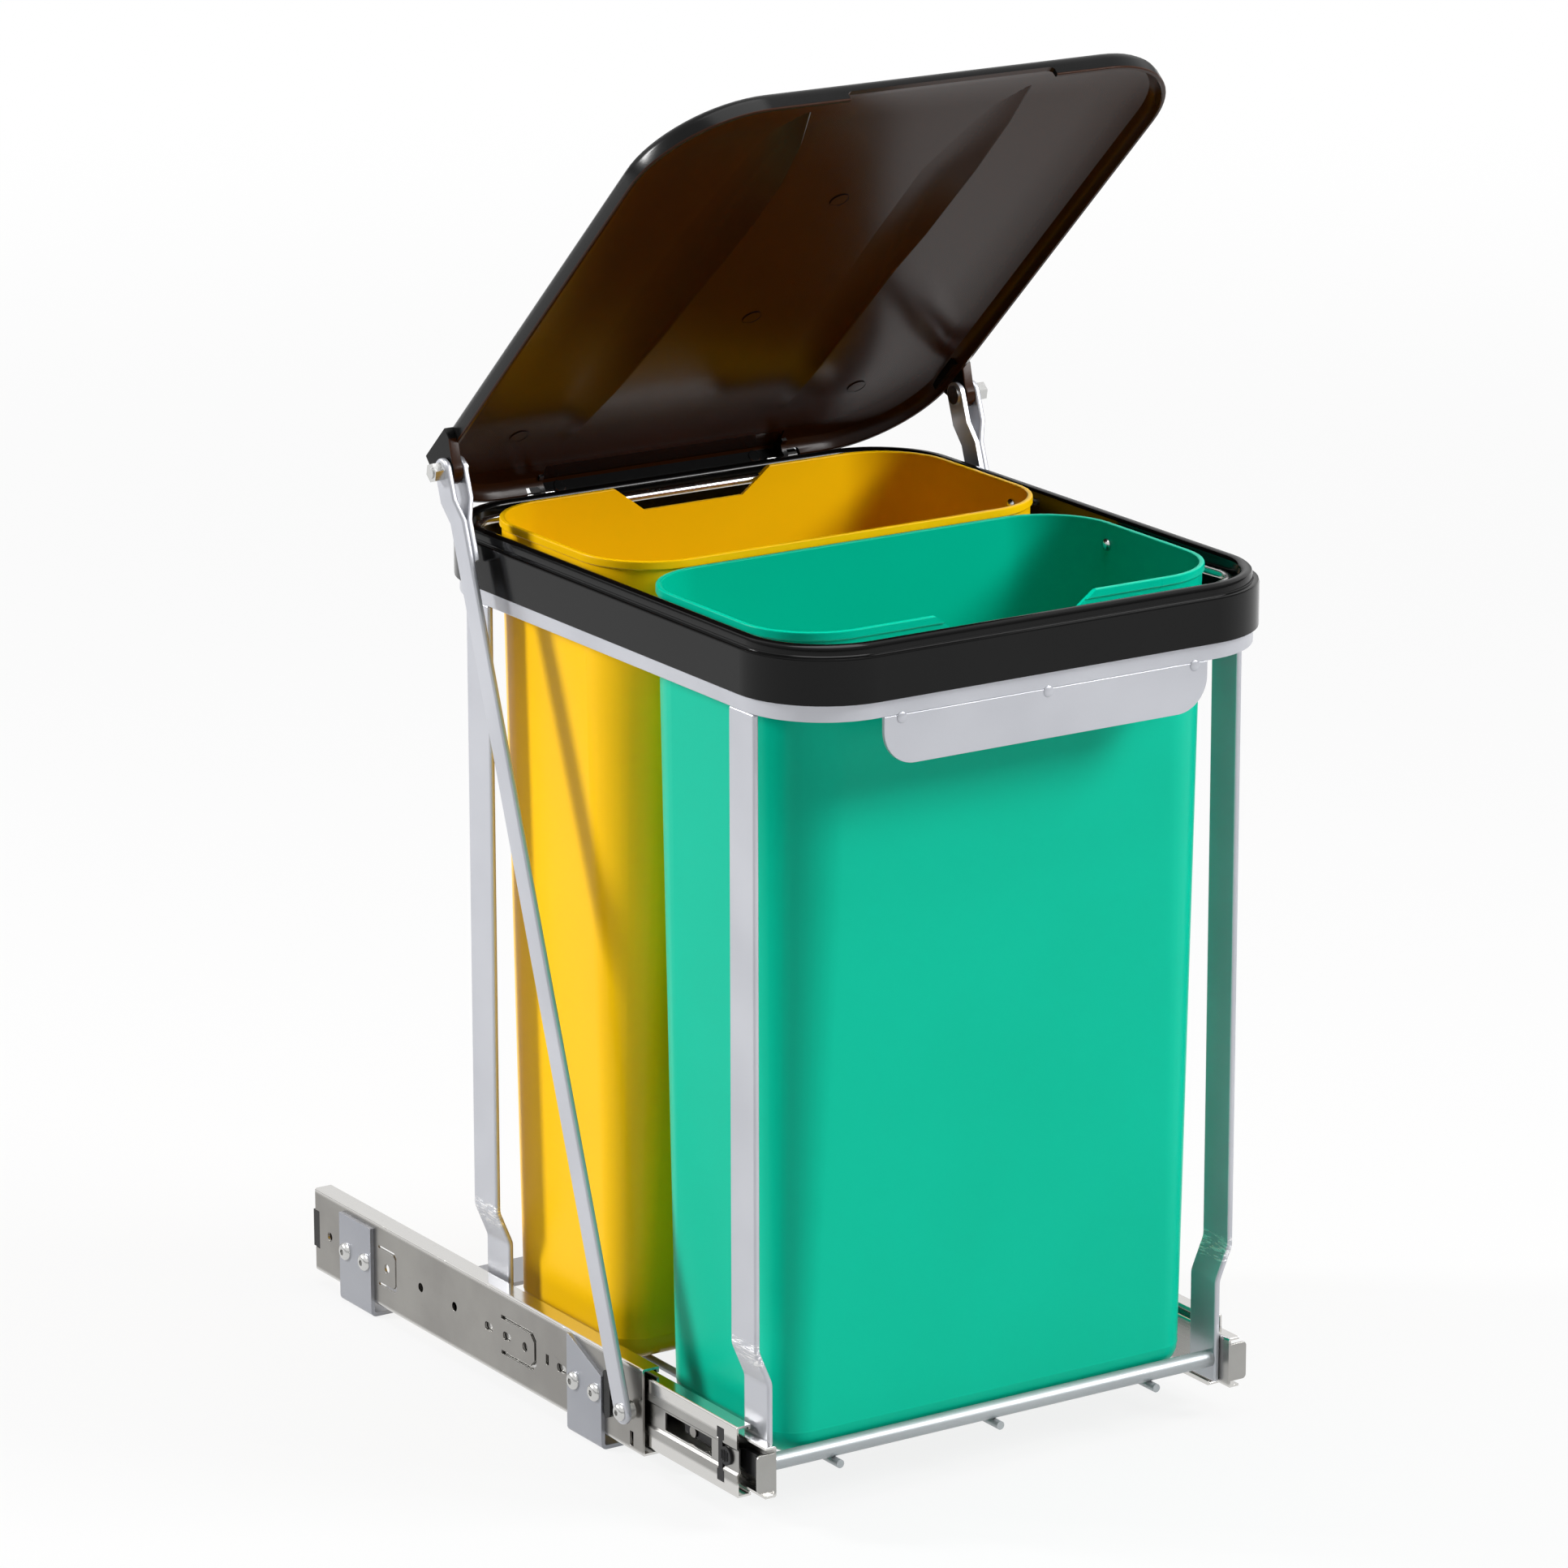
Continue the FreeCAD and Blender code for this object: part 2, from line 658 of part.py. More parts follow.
def ball_rows(diameter, x, height, middle):
    """Two rows of balls, above and below the slide's middle line."""
    balls = []
    count = int(value("balls_in_row"))
    for number in range(count):
        y = value(middle) + value("ball_pitch") * (number - (count - 1) / 2)
        for side in (-1, 1):
            z = value(SLIDE_MIDDLE) + side * value(height)
            balls.append(Part.makeSphere(value(diameter) / 2, FreeCAD.Vector(value(x), y, z)))
    return balls


OUTER_BALL_HEIGHT = "(slide_height / 2 - sheet_gauge + middle_height / 2) / 2"
INNER_BALL_HEIGHT = "(middle_height / 2 - sheet_gauge + inner_height / 2) / 2"


def cage_with_balls(label, cage, diameter, x, height, middle):
    """Drill the pockets in a cage and lay its balls in them."""
    holes = []
    drill = value(diameter) / 2 + value("pin_fit")
    for ball in ball_rows(diameter, x, height, middle):
        centre = ball.BoundBox.Center
        holes.append(Part.makeCylinder(drill, 4, centre - FreeCAD.Vector(0, 0, 2)))
    cage = cage.cut(Part.makeCompound(holes))
    return shape_piece(label, Part.makeCompound(cage.Solids + ball_rows(diameter, x, height, middle)))


def block(x0, x1, y0, y1, z0, z1):
    """A box between two corners given as expressions."""
    low = [min(value(a), value(b)) for a, b in ((x0, x1), (y0, y1), (z0, z1))]
    high = [max(value(a), value(b)) for a, b in ((x0, x1), (y0, y1), (z0, z1))]
    return Part.makeBox(high[0] - low[0], high[1] - low[1], high[2] - low[2], FreeCAD.Vector(*low))


def outer_ball_cage():
    """Pressed cage between the cabinet member and the middle member, with its two rows of balls."""
    y0 = "-outer_cage_middle - outer_cage_length / 2"
    y1 = "-outer_cage_middle + outer_cage_length / 2"
    web = "-middle_face - clearance"
    arm = OUTER_BALL_HEIGHT
    top = "%s + %s" % (SLIDE_MIDDLE, arm)
    low = "%s - %s" % (SLIDE_MIDDLE, arm)
    plate = block(web, web + " - cage_gauge", y0, y1, low + " - cage_arm / 2", top + " + cage_arm / 2")
    inner = "-web_face + outer_depth - sheet_gauge - clearance"
    upper = block(inner, web, y0, y1, top + " - cage_arm / 2", top + " + cage_arm / 2")
    lower = block(inner, web, y0, y1, low + " - cage_arm / 2", low + " + cage_arm / 2")
    cage = plate.fuse([upper, lower]).removeSplitter()
    x = "-web_face + sheet_gauge + 3.3"
    return cage_with_balls("left_outer_ball_cage", cage, "outer_ball", x, arm, "-outer_cage_middle")


def inner_ball_cage():
    """Two angle strips between the middle member and the carriage member, each with a row of balls."""
    y0 = "-inner_cage_middle - inner_cage_length / 2"
    y1 = "-inner_cage_middle + inner_cage_length / 2"
    web = "-middle_face + sheet_gauge + 0.5"
    inner = "-middle_face + middle_depth - 0.3"
    strips = []
    for side in ("1", "-1"):
        arm = "%s + (%s) * (%s)" % (SLIDE_MIDDLE, side, INNER_BALL_HEIGHT)
        flat = block(inner, web, y0, y1, arm + " - cage_arm / 2", arm + " + cage_arm / 2")
        leg = block(web + " + cage_gauge", web, y0, y1, arm + " + (%s) * cage_arm / 2" % side,
                    arm + " - (%s) * 6" % side)
        strips.append(flat.fuse(leg).removeSplitter())
    x = "-middle_face + sheet_gauge + 3.4"
    return cage_with_balls("left_inner_ball_cage", Part.makeCompound(strips), "inner_ball", x,
                           INNER_BALL_HEIGHT, "-inner_cage_middle")


def rear_bumper():
    """Black rubber block in the rear end of the cabinet member."""
    shape = block("-web_face + sheet_gauge + 0.1", "-web_face + outer_depth - sheet_gauge - 0.6",
                  SLIDE_REAR + " - 4.5", SLIDE_REAR + " + 2",
                  SLIDE_MIDDLE + " - 9", SLIDE_MIDDLE + " + 10")
    nose = block("-web_face + 0.2", "-web_face + sheet_gauge + 0.2",
                 SLIDE_REAR + " - 3.9", SLIDE_REAR + " + 2",
                 SLIDE_MIDDLE + " - 8.8", SLIDE_MIDDLE + " + 9.8")
    return shape_piece("left_rear_bumper", shape.fuse(nose).removeSplitter())


def arm_buffer():
    """Rounded black rubber strip on the cabinet member, where the arm's foot swings past."""
    body = new_body("left_arm_buffer")
    sketch = new_sketch(body, "X", "-web_face - 1.2")
    rear = "%s - front_strap_width / 2 - 0.3" % FRONT_STRAP
    rounded_rectangle(sketch, rear + " - 6", rear, SLIDE_MIDDLE + " - 11", SLIDE_MIDDLE + " + 12", "2.9")
    pad(body, sketch, "1.2")
    return body


# Floor straps, one piece each across the cabinet floor and up the outside of both slides

def floor_strap(label, place, width, height):
    body = new_body(label)
    inside = "web_face"
    outside = "(web_face + strap_gauge)"
    sketch = new_sketch(body, "Y", "%s - (%s) / 2" % (place, width))
    polygon(sketch, [
        ("-" + outside, "0"), (outside, "0"), (outside, height), (inside, height),
        (inside, "strap_gauge"), ("-" + inside, "strap_gauge"), ("-" + inside, height),
        ("-" + outside, height),
    ])
    blank = pad(body, sketch, width)
    bent = fillet(body, blank, lambda edge: runs_along(edge, "Y") and near(edge.Vertexes[0].Z, 0),
                  "strap_bend")
    floor_inside = value("strap_gauge")
    fillet(body, bent, lambda edge: runs_along(edge, "Y") and near(edge.Vertexes[0].Z, floor_inside),
           "strap_bend - strap_gauge")
    holes = new_sketch(body, "Z", "strap_gauge")
    for side in ("-1", "1"):
        circle(holes, "%s * floor_hole_spacing / 2" % side, place + " - strap_shift", "floor_hole")
    pocket(body, holes, "strap_gauge", backwards=True)
    sides = new_sketch(body, "X", "-" + outside)
    for step in ("-1", "1"):
        circle(sides, "%s + %s * strap_screw_pitch / 2" % (place, step), "strap_screw_height",
               "strap_screw + 4 * pin_fit")
    pocket(body, sides, "2 * " + outside)
    return body


def slanted_top(body):
    """The front strap's ears are cut off at a slant."""
    rear = "%s + front_strap_width / 2" % FRONT_STRAP
    front = "%s - front_strap_width / 2" % FRONT_STRAP
    sketch = new_sketch(body, "X", "-(web_face + strap_gauge)")
    polygon(sketch, [
        (rear + " - 2", "strap_height"),
        (rear + " - 2", "strap_height + 5"),
        (front + " - 5", "strap_height + 5"),
        (front + " - 5", "strap_low_height"),
        (front, "strap_low_height"),
    ])
    pocket(body, sketch, "2 * (web_face + strap_gauge)")
    return body


def screw(x, y, z, head_diameter, head_height, shank_diameter, shank_length):
    """A button-head screw along X with a hexagon socket, its head facing -X from its seat."""
    head_radius = head_diameter / 2
    shank_radius = shank_diameter / 2
    dome = FreeCAD.Vector(head_height * 0.75, head_radius * 0.8, 0)
    outline = [FreeCAD.Vector(-shank_length, 0, 0), FreeCAD.Vector(-shank_length, shank_radius, 0),
               FreeCAD.Vector(0, shank_radius, 0), FreeCAD.Vector(0, head_radius, 0)]
    edges = [Part.makeLine(outline[number], outline[number + 1]) for number in range(3)]
    rim = FreeCAD.Vector(head_height, head_radius * 0.45, 0)
    edges.append(Part.Arc(outline[3], dome, rim).toShape())
    edges.append(Part.makeLine(rim, FreeCAD.Vector(head_height, 0, 0)))
    edges.append(Part.makeLine(FreeCAD.Vector(head_height, 0, 0), outline[0]))
    turned = Part.Face(Part.Wire(edges)).revolve(FreeCAD.Vector(0, 0, 0), FreeCAD.Vector(1, 0, 0), 360)
    size = head_radius * 0.36
    corners = [FreeCAD.Vector(head_height * 0.35, size * math.cos(math.radians(60 * number)),
                              size * math.sin(math.radians(60 * number))) for number in range(7)]
    socket = Part.Face(Part.makePolygon(corners)).extrude(FreeCAD.Vector(head_height, 0, 0))
    body = turned.cut(socket)
    body.rotate(FreeCAD.Vector(0, 0, 0), FreeCAD.Vector(0, 0, 1), 180)
    body.translate(FreeCAD.Vector(x, y, z))
    return body


def strap_screws():
    """Four screws that hold both straps to the slide's web."""
    screws = []
    for place in (FRONT_STRAP, REAR_STRAP):
        for step in (-1, 1):
            y = value(place) + step * value("strap_screw_pitch") / 2
            screws.append(screw(-value("web_face + strap_gauge"), y, value("strap_screw_height"),
                                value("strap_screw_head"), value("screw_head_height"),
                                value("strap_screw"), value("strap_gauge + sheet_gauge")))
    return shape_piece("left_strap_screws", Part.makeCompound(screws))


def screw_holes_in_web(body):
    """Clearance holes for the strap screws in the cabinet member's web."""
    sketch = new_sketch(body, "X", "-web_face")
    for place in (FRONT_STRAP, REAR_STRAP):
        for step in ("-1", "1"):
            circle(sketch, "%s + %s * strap_screw_pitch / 2" % (place, step), "strap_screw_height",
                   "strap_screw + 4 * pin_fit")
    pocket(body, sketch, "sheet_gauge")


# Carriage frame

def leg(label, front):
    """Flat steel leg: upright under the band, stepped in to lie against the carriage member."""
    body = new_body(label)
    sketch = new_sketch(body, "Y", front)
    polygon(sketch, [
        ("-leg_face", "band_bottom"), ("-leg_face", "joggle_top"), ("-inner_face", "joggle_bottom"),
        ("-inner_face", "foot_bottom"), ("-inner_face + leg_gauge", "foot_bottom"),
        ("-inner_face + leg_gauge", "joggle_bottom + 0.6"),
        ("-leg_face + leg_gauge", "joggle_top + 0.6"), ("-leg_face + leg_gauge", "band_bottom"),
    ])
    bar = pad(body, sketch, "leg_width")
    low = value("joggle_bottom") - 1
    high = value("joggle_top") + 1
    fillet(body, bar, lambda edge: runs_along(edge, "Y") and low < edge.Vertexes[0].Z < high,
           "joggle_bend")
    return body


def frame_band():
    """Closed ring of flat steel round both buckets."""
    body = new_body("frame_band")
    for inset, action in (("0", pad), ("band_gauge", pocket)):
        sketch = new_sketch(body, "Z", "band_bottom")
        rounded_rectangle(sketch,
                          "-(%s) + %s" % (BAND_HALF_WIDTH, inset), "%s - %s" % (BAND_HALF_WIDTH, inset),
                          "%s - (%s) + %s" % (CARRIAGE, BAND_HALF_DEPTH, inset),
                          "%s + %s - %s" % (CARRIAGE, BAND_HALF_DEPTH, inset),
                          "%s - %s" % (BAND_CORNER, inset))
        action(body, sketch, "band_height")
    return body


def pull_plate():
    """Plate welded under the band, by which the bin is pulled out."""
    body = new_body("pull_plate")
    sketch = new_sketch(body, "Y", "%s - (%s)" % (CARRIAGE, BAND_HALF_DEPTH))
    rectangle(sketch, "-pull_plate_width / 2", "pull_plate_width / 2",
              "band_bottom - pull_plate_height", "band_bottom")
    plate = pad(body, sketch, "pull_plate_gauge")
    low = value("band_bottom - pull_plate_height")
    fillet(body, plate, lambda edge: runs_along(edge, "Y") and near(edge.Vertexes[0].Z, low),
           "pull_plate_corner")
    return body


def collar():
    """Plastic ring clipped over the band: skirt, shoulder, bead and inner wall in one section."""
    body = new_body("collar")
    path = new_sketch(body, "Z", SKIRT_BOTTOM)
    rounded_rectangle(path, "-collar_half_width", "collar_half_width",
                      CARRIAGE + " - collar_half_depth", CARRIAGE + " + collar_half_depth",
                      "collar_corner")
    section = new_sketch(body, "Y", CARRIAGE)
    out = "-collar_half_width"
    roof = BAND_TOP + " + collar_fit"
    band_inside = "%s - band_gauge - collar_fit" % BAND_HALF_WIDTH
    polygon(section, [
        (out, SKIRT_BOTTOM), (out, SHOULDER), (out + " + shoulder_width", SHOULDER),
        (out + " + shoulder_width", BEAD_TOP), (out + " + collar_width", BEAD_TOP),
        (out + " + collar_width", INNER_SKIRT_BOTTOM), ("-(%s)" % band_inside, INNER_SKIRT_BOTTOM),
        ("-(%s)" % band_inside, roof), (out + " + collar_wall", roof),
        (out + " + collar_wall", SKIRT_BOTTOM),
    ])
    pipe = body.newObject("PartDesign::AdditivePipe", "Pipe")
    pipe.Profile = section
    pipe.Spine = path
    pipe.Mode = "Standard"
    doc.recompute()
    top = value(BEAD_TOP)
    rounded = fillet(body, pipe, lambda edge: near(edge.BoundBox.ZMin, top) and near(edge.BoundBox.ZMax, top),
                     "bead_round")
    shoulder = value(SHOULDER)
    outer = value("collar_half_width + collar_half_depth")
    fillet(body, rounded, lambda edge: near(edge.BoundBox.ZMin, shoulder)
           and near(edge.BoundBox.ZMax, shoulder) and on_outer_line(edge), "1.2")
    knuckles = new_sketch(body, "X", "-panel_half_width - knuckle_gap - knuckle_width")
    knuckle_outline(knuckles)
    pad(body, knuckles, "knuckle_width")
    twins = new_sketch(body, "X", "panel_half_width + knuckle_gap")
    knuckle_outline(twins)
    pad(body, twins, "knuckle_width")
    bore = new_sketch(body, "X", "-panel_half_width - knuckle_gap - knuckle_width")
    circle(bore, HINGE_Y, HINGE_Z, "hinge_pin + 2 * pin_fit")
    pocket(body, bore, "2 * (panel_half_width + knuckle_gap + knuckle_width)")
    return body


def on_outer_line(edge):
    """Whether an edge lies on the collar's outermost line."""
    half_width = value("collar_half_width")
    half_depth = value("collar_half_depth")
    middle = value(CARRIAGE)
    corner = value("collar_corner")
    for spot in edge.discretize(3):
        x = max(abs(spot.x) - (half_width - corner), 0)
        y = max(abs(spot.y - middle) - (half_depth - corner), 0)
        if abs(math.hypot(x, y) - corner) > 0.05:
            return False
    return True


def knuckle_outline(sketch):
    """Side view of a hinge knuckle: an eye on the hinge axis with a root on the collar's skirt."""
    back = CARRIAGE + " + collar_half_depth - 1"
    polygon(sketch, [
        (back, HINGE_Z + " - 14"), (back + " + 1.4", HINGE_Z + " - 14"),
        (HINGE_Y + " + knuckle_radius * 0.95", HINGE_Z + " - knuckle_radius * 0.6"),
        (HINGE_Y + " + knuckle_radius", HINGE_Z),
        (HINGE_Y + " + knuckle_radius * 0.71", HINGE_Z + " + knuckle_radius * 0.71"),
        (HINGE_Y, HINGE_Z + " + knuckle_radius"),
        (HINGE_Y + " - knuckle_radius * 0.71", HINGE_Z + " + knuckle_radius * 0.71"),
        (HINGE_Y + " - knuckle_radius", HINGE_Z),
        (back, HINGE_Z + " - 3"),
    ])


# Rack

def rear_bar():
    bar = doc.addObject("Part::Box", "rear_bar")
    tie(bar, "Length", "2 * (%s)" % FOOT_INNER)
    tie(bar, "Width", "leg_width")
    tie(bar, "Height", "rear_bar_gauge")
    tie(bar, "Placement.Base.x", "-(%s)" % FOOT_INNER)
    tie(bar, "Placement.Base.y", "%s - leg_width" % REAR_LEG_REAR)
    tie(bar, "Placement.Base.z", WIRE_TOP)
    return bar


ROD_Y = "%s + rod_back" % FRONT_LEG_FRONT
WIRE_FRONT = "%s - rack_wire_overhang" % ROD_Y
WIRE_LENGTH = "%s - (%s)" % (REAR_LEG_REAR, WIRE_FRONT)


def rack():
    keep(cylinder("front_rod", "rod_diameter", "2 * (%s)" % FOOT_INNER, "-(%s)" % FOOT_INNER, ROD_Y,
                  ROD_HEIGHT, "X"))
    for name, side in (("left", "-1"), ("centre", "0"), ("right", "1")):
        keep(cylinder(name + "_rack_wire", "rack_wire", WIRE_LENGTH, "%s * rack_wire_spacing" % side,
                      WIRE_FRONT, WIRE_TOP + " - rack_wire / 2", "Y"))
    keep(cylinder("cross_wire", "rack_wire", "cross_wire_length", "-cross_wire_length / 2",
                  CARRIAGE + " + cross_wire_back", WIRE_TOP + " + rack_wire / 2", "X"))
    keep(rear_bar())


# Buckets: tapered mouldings with a notch in one long side and a wire bail

def bucket_form(body, kind, middle, base, wall):
    """The bucket's tapered form, drawn in by a wall: a rounded foot, then straight sides to the rim."""
    round_foot = "(bucket_base_round - %s)" % wall
    sections = []
    for angle in (0, 30, 60, 90):
        inset = "%s + %s * %.4f" % (wall, round_foot, 1 - math.sin(math.radians(angle)))
        up = "%s + %s + %s * %.4f" % (base, wall, round_foot, 1 - math.cos(math.radians(angle)))
        sections.append((up, "bucket_base_width / 2", "bucket_base_depth / 2", "bucket_base_corner", inset))
    sections.append((base + " + bucket_height", "bucket_rim_width / 2", "bucket_rim_depth / 2",
                     "bucket_rim_corner", wall + " + bucket_lip"))
    sketches = []
    for up, half_width, half_depth, corner, inset in sections:
        sketch = new_sketch(body, "Z", up)
        rounded_rectangle(sketch, "-%s + %s" % (half_width, inset), "%s - (%s)" % (half_width, inset),
                          "%s - %s + %s" % (middle, half_depth, inset),
                          "%s + %s - (%s)" % (middle, half_depth, inset), "%s - (%s)" % (corner, inset))
        sketches.append(sketch)
    loft = body.newObject("PartDesign::" + kind, kind)
    loft.Profile = sketches[0]
    loft.Sections = sketches[1:]
    loft.Ruled = True
    doc.recompute()


def bucket(label, middle, facing, base):
    """A bucket whose notched side faces the front (-1) or the rear (1)."""
    body = new_body(label)
    bucket_form(body, "AdditiveLoft", middle, base, "0")
    bucket_form(body, "SubtractiveLoft", middle, base, "bucket_wall")
    lip = new_sketch(body, "Z", "%s + bucket_height - bucket_lip_height" % base)
    for inset in ("0", "bucket_lip + bucket_wall / 2"):
        rounded_rectangle(lip, "-bucket_rim_width / 2 + %s" % inset, "bucket_rim_width / 2 - (%s)" % inset,
                          "%s - bucket_rim_depth / 2 + %s" % (middle, inset),
                          "%s + bucket_rim_depth / 2 - (%s)" % (middle, inset),
                          "bucket_rim_corner - (%s)" % inset)
    pad(body, lip, "bucket_lip_height")
    top = "%s + bucket_height" % base
    wall = "%s + (%s) * (bucket_rim_depth / 2 + 1)" % (middle, facing)
    notch = new_sketch(body, "Y", wall)
    polygon(notch, [
        ("-notch_bottom / 2", top + " - notch_depth"), ("notch_bottom / 2", top + " - notch_depth"),
        ("notch_top / 2", top), ("notch_top / 2", top + " + 2"), ("-notch_top / 2", top + " + 2"),
        ("-notch_top / 2", top),
    ])
    pocket(body, notch, "bucket_wall + bucket_lip + 3", backwards=value(facing) > 0)
    eyes = new_sketch(body, "X", "-bucket_rim_width / 2 - 1")
    circle(eyes, "%s - (%s) * bail_pivot_offset" % (middle, facing), top + " - bail_pivot_drop",
           "bail_wire + 4 * pin_fit")
    pocket(body, eyes, "bucket_rim_width + 2")
    return body


def bail(label, middle, facing, base):
    """A wire bail folded down beyond the notched side, its turned-in ends in the bucket's eyes."""
    radius = value("bail_wire") / 2
    half = value("bail_half_width")
    reach = value("bail_length")
    corner = value("bail_corner")
    end = value("bail_end_inside")
    turn = 0.75 * value("bail_wire")
    # The bail lies flat in its own frame: pivots on the X axis, grip towards +Y.
    lines = [((-end, 0), (-half + turn, 0)), ((-half, turn), (-half, reach - corner)),
             ((-half + corner, reach), (half - corner, reach)), ((half, reach - corner), (half, turn)),
             ((half - turn, 0), (end, 0))]
    bends = [(-half + turn * 0.293, turn * 0.293), (-half + corner * 0.293, reach - corner * 0.293),
             (half - corner * 0.293, reach - corner * 0.293), (half - turn * 0.293, turn * 0.293)]
    edges = []
    for number, (start, stop) in enumerate(lines):
        first = FreeCAD.Vector(start[0], start[1], 0)
        last = FreeCAD.Vector(stop[0], stop[1], 0)
        if (last - first).Length > 1e-6:
            edges.append(Part.makeLine(first, last))
        if number < len(bends):
            via = FreeCAD.Vector(bends[number][0], bends[number][1], 0)
            onward = lines[number + 1][0]
            edges.append(Part.Arc(last, via, FreeCAD.Vector(onward[0], onward[1], 0)).toShape())
    path = Part.Wire(edges)
    ring = Part.Wire(Part.makeCircle(radius, FreeCAD.Vector(-end, 0, 0), FreeCAD.Vector(1, 0, 0)))
    piece = shape_piece(label, path.makePipeShell([ring], True, False))
    side = value(facing)
    turned = FreeCAD.Rotation(FreeCAD.Vector(0, 0, 1), 0 if side > 0 else 180)
    tilted = FreeCAD.Rotation(FreeCAD.Vector(1, 0, 0), side * value("bail_rise"))
    spot = FreeCAD.Vector(0, value("%s - (%s) * bail_pivot_offset" % (middle, facing)),
                          value("%s + bucket_height - bail_pivot_drop" % base))
    piece.Placement = FreeCAD.Placement(spot, tilted.multiply(turned))
    return piece


# Lid, drawn closed in its own frame: hinge axis along X through the origin, front towards -Y

LID_TOP = "-lid_rim_drop + lid_depth"


def lid():
    body = new_body("lid")
    front = "-lid_rear - lid_length"
    tray = new_sketch(body, "Z", "-lid_rim_drop")
    rounded_rectangle(tray, "-lid_half_width", "lid_half_width", front, "-lid_rear", "lid_corner")
    block = pad(body, tray, "lid_depth")
    top = value(LID_TOP)
    fillet(body, block,
           lambda edge: near(edge.BoundBox.ZMin, top) and near(edge.BoundBox.ZMax, top), "lid_edge_round")
    hump = new_sketch(body, "Z", "-lid_rim_drop")
    rectangle(hump, "-panel_half_width", "panel_half_width", "-lid_rear - lid_edge_round", "panel_back")
    pad(body, hump, "lid_depth - hump_drop")
    hollow = new_sketch(body, "Z", "-lid_rim_drop")
    rounded_rectangle(hollow, "-lid_half_width + lid_wall", "lid_half_width - lid_wall",
                      front + " + lid_wall", "-lid_rear - lid_wall", "lid_corner - lid_wall")
    pocket(body, hollow, "lid_depth - lid_wall")
    recess = new_sketch(body, "Z", "-lid_rim_drop")
    rectangle(recess, "-panel_half_width + lid_wall", "panel_half_width - lid_wall",
              "-lid_rear - 2 * lid_wall", "panel_back - lid_wall")
    pocket(body, recess, "lid_depth - hump_drop - lid_wall")
    barrel = new_sketch(body, "X", "-panel_half_width")
    circle(barrel, "0", "0", "2 * barrel_radius")
    pad(body, barrel, "2 * panel_half_width")
    for side in ("-1", "1"):
        inner = "ear_inner_face" if side == "1" else "-ear_inner_face - ear_width"
        ear = new_sketch(body, "X", inner)
        ear_outline(ear)
        pad(body, ear, "ear_width")
        root = new_sketch(body, "X", "lid_half_width - lid_wall" if side == "1" else inner)
        rectangle(root, "-fork_out - ear_root_half_width", "-fork_out + ear_root_half_width",
                  "-lid_rim_drop + ear_root_rise", LID_TOP + " - lid_edge_round")
        pad(body, root, "ear_inner_face + ear_width - lid_half_width + lid_wall")
    holes = new_sketch(body, "X", "-ear_inner_face - ear_width")
    circle(holes, "-fork_out", "-fork_drop", "fork_bolt + 2 * pin_fit")
    pocket(body, holes, "2 * (ear_inner_face + ear_width)")
    bore = new_sketch(body, "X", "-panel_half_width")
    circle(bore, "0", "0", "hinge_pin + 2 * pin_fit")
    pocket(body, bore, "2 * panel_half_width")
    for start in ("-panel_half_width - knuckle_width - 2 * knuckle_gap", "panel_half_width"):
        room = new_sketch(body, "X", start)
        circle(room, "0", "0", "2 * (knuckle_radius + knuckle_room)")
        pocket(body, room, "knuckle_width + 2 * knuckle_gap")
    body.Placement = FreeCAD.Placement(
        FreeCAD.Vector(0, value(HINGE_Y), value(HINGE_Z)),
        FreeCAD.Rotation(FreeCAD.Vector(-1, 0, 0), value("lid_open")))
    return body


def ear_outline(sketch):
    """Side view of the ear that carries the fork bolt, rounded about the bolt."""
    polygon(sketch, [
        ("-fork_out - ear_root_half_width", LID_TOP + " - lid_edge_round"),
        ("-fork_out - ear_root_half_width", "-lid_rim_drop + ear_root_rise"),
        ("-fork_out - ear_round", "-fork_drop + 1"),
        ("-fork_out - ear_round * 0.8", "-fork_drop - ear_round * 0.6"),
        ("-fork_out", "-fork_drop - ear_round"),
        ("-fork_out + ear_round * 0.8", "-fork_drop - ear_round * 0.6"),
        ("-fork_out + ear_round", "-fork_drop + 1"),
        ("-fork_out + ear_root_half_width", "-lid_rim_drop + ear_root_rise"),
        ("-fork_out + ear_root_half_width", LID_TOP + " - lid_edge_round"),
    ])


def hinge_pin():
    pin = cylinder("left_hinge_pin", "hinge_pin", "hinge_pin_length",
                   "-panel_half_width - knuckle_gap - knuckle_width", HINGE_Y, HINGE_Z, "X")
    return pin


# Arms, drawn upright in their own frame: fork bolt at the origin, foot towards -Z

def fork_point():
    """Where the fork bolt stands at rest, from the lid's hinge and opening angle."""
    out = value("fork_out")
    drop = value("fork_drop")
    angle = math.radians(value("lid_open"))
    y = value(HINGE_Y) - out * math.cos(angle) - drop * math.sin(angle)
    z = value(HINGE_Z) + out * math.sin(angle) - drop * math.cos(angle)
    return y, z


def arm_length():
    y, z = fork_point()
    return math.hypot(y + value("pivot_out"), z - value("pivot_height"))


def lean_back(piece):
    """Stand an arm piece on its foot pivot."""
    y, z = fork_point()
    lean = math.degrees(math.atan2(y + value("pivot_out"), z - value("pivot_height")))
    piece.Placement = FreeCAD.Placement(FreeCAD.Vector(0, y, z),
                                        FreeCAD.Rotation(FreeCAD.Vector(1, 0, 0), -lean))
    return piece


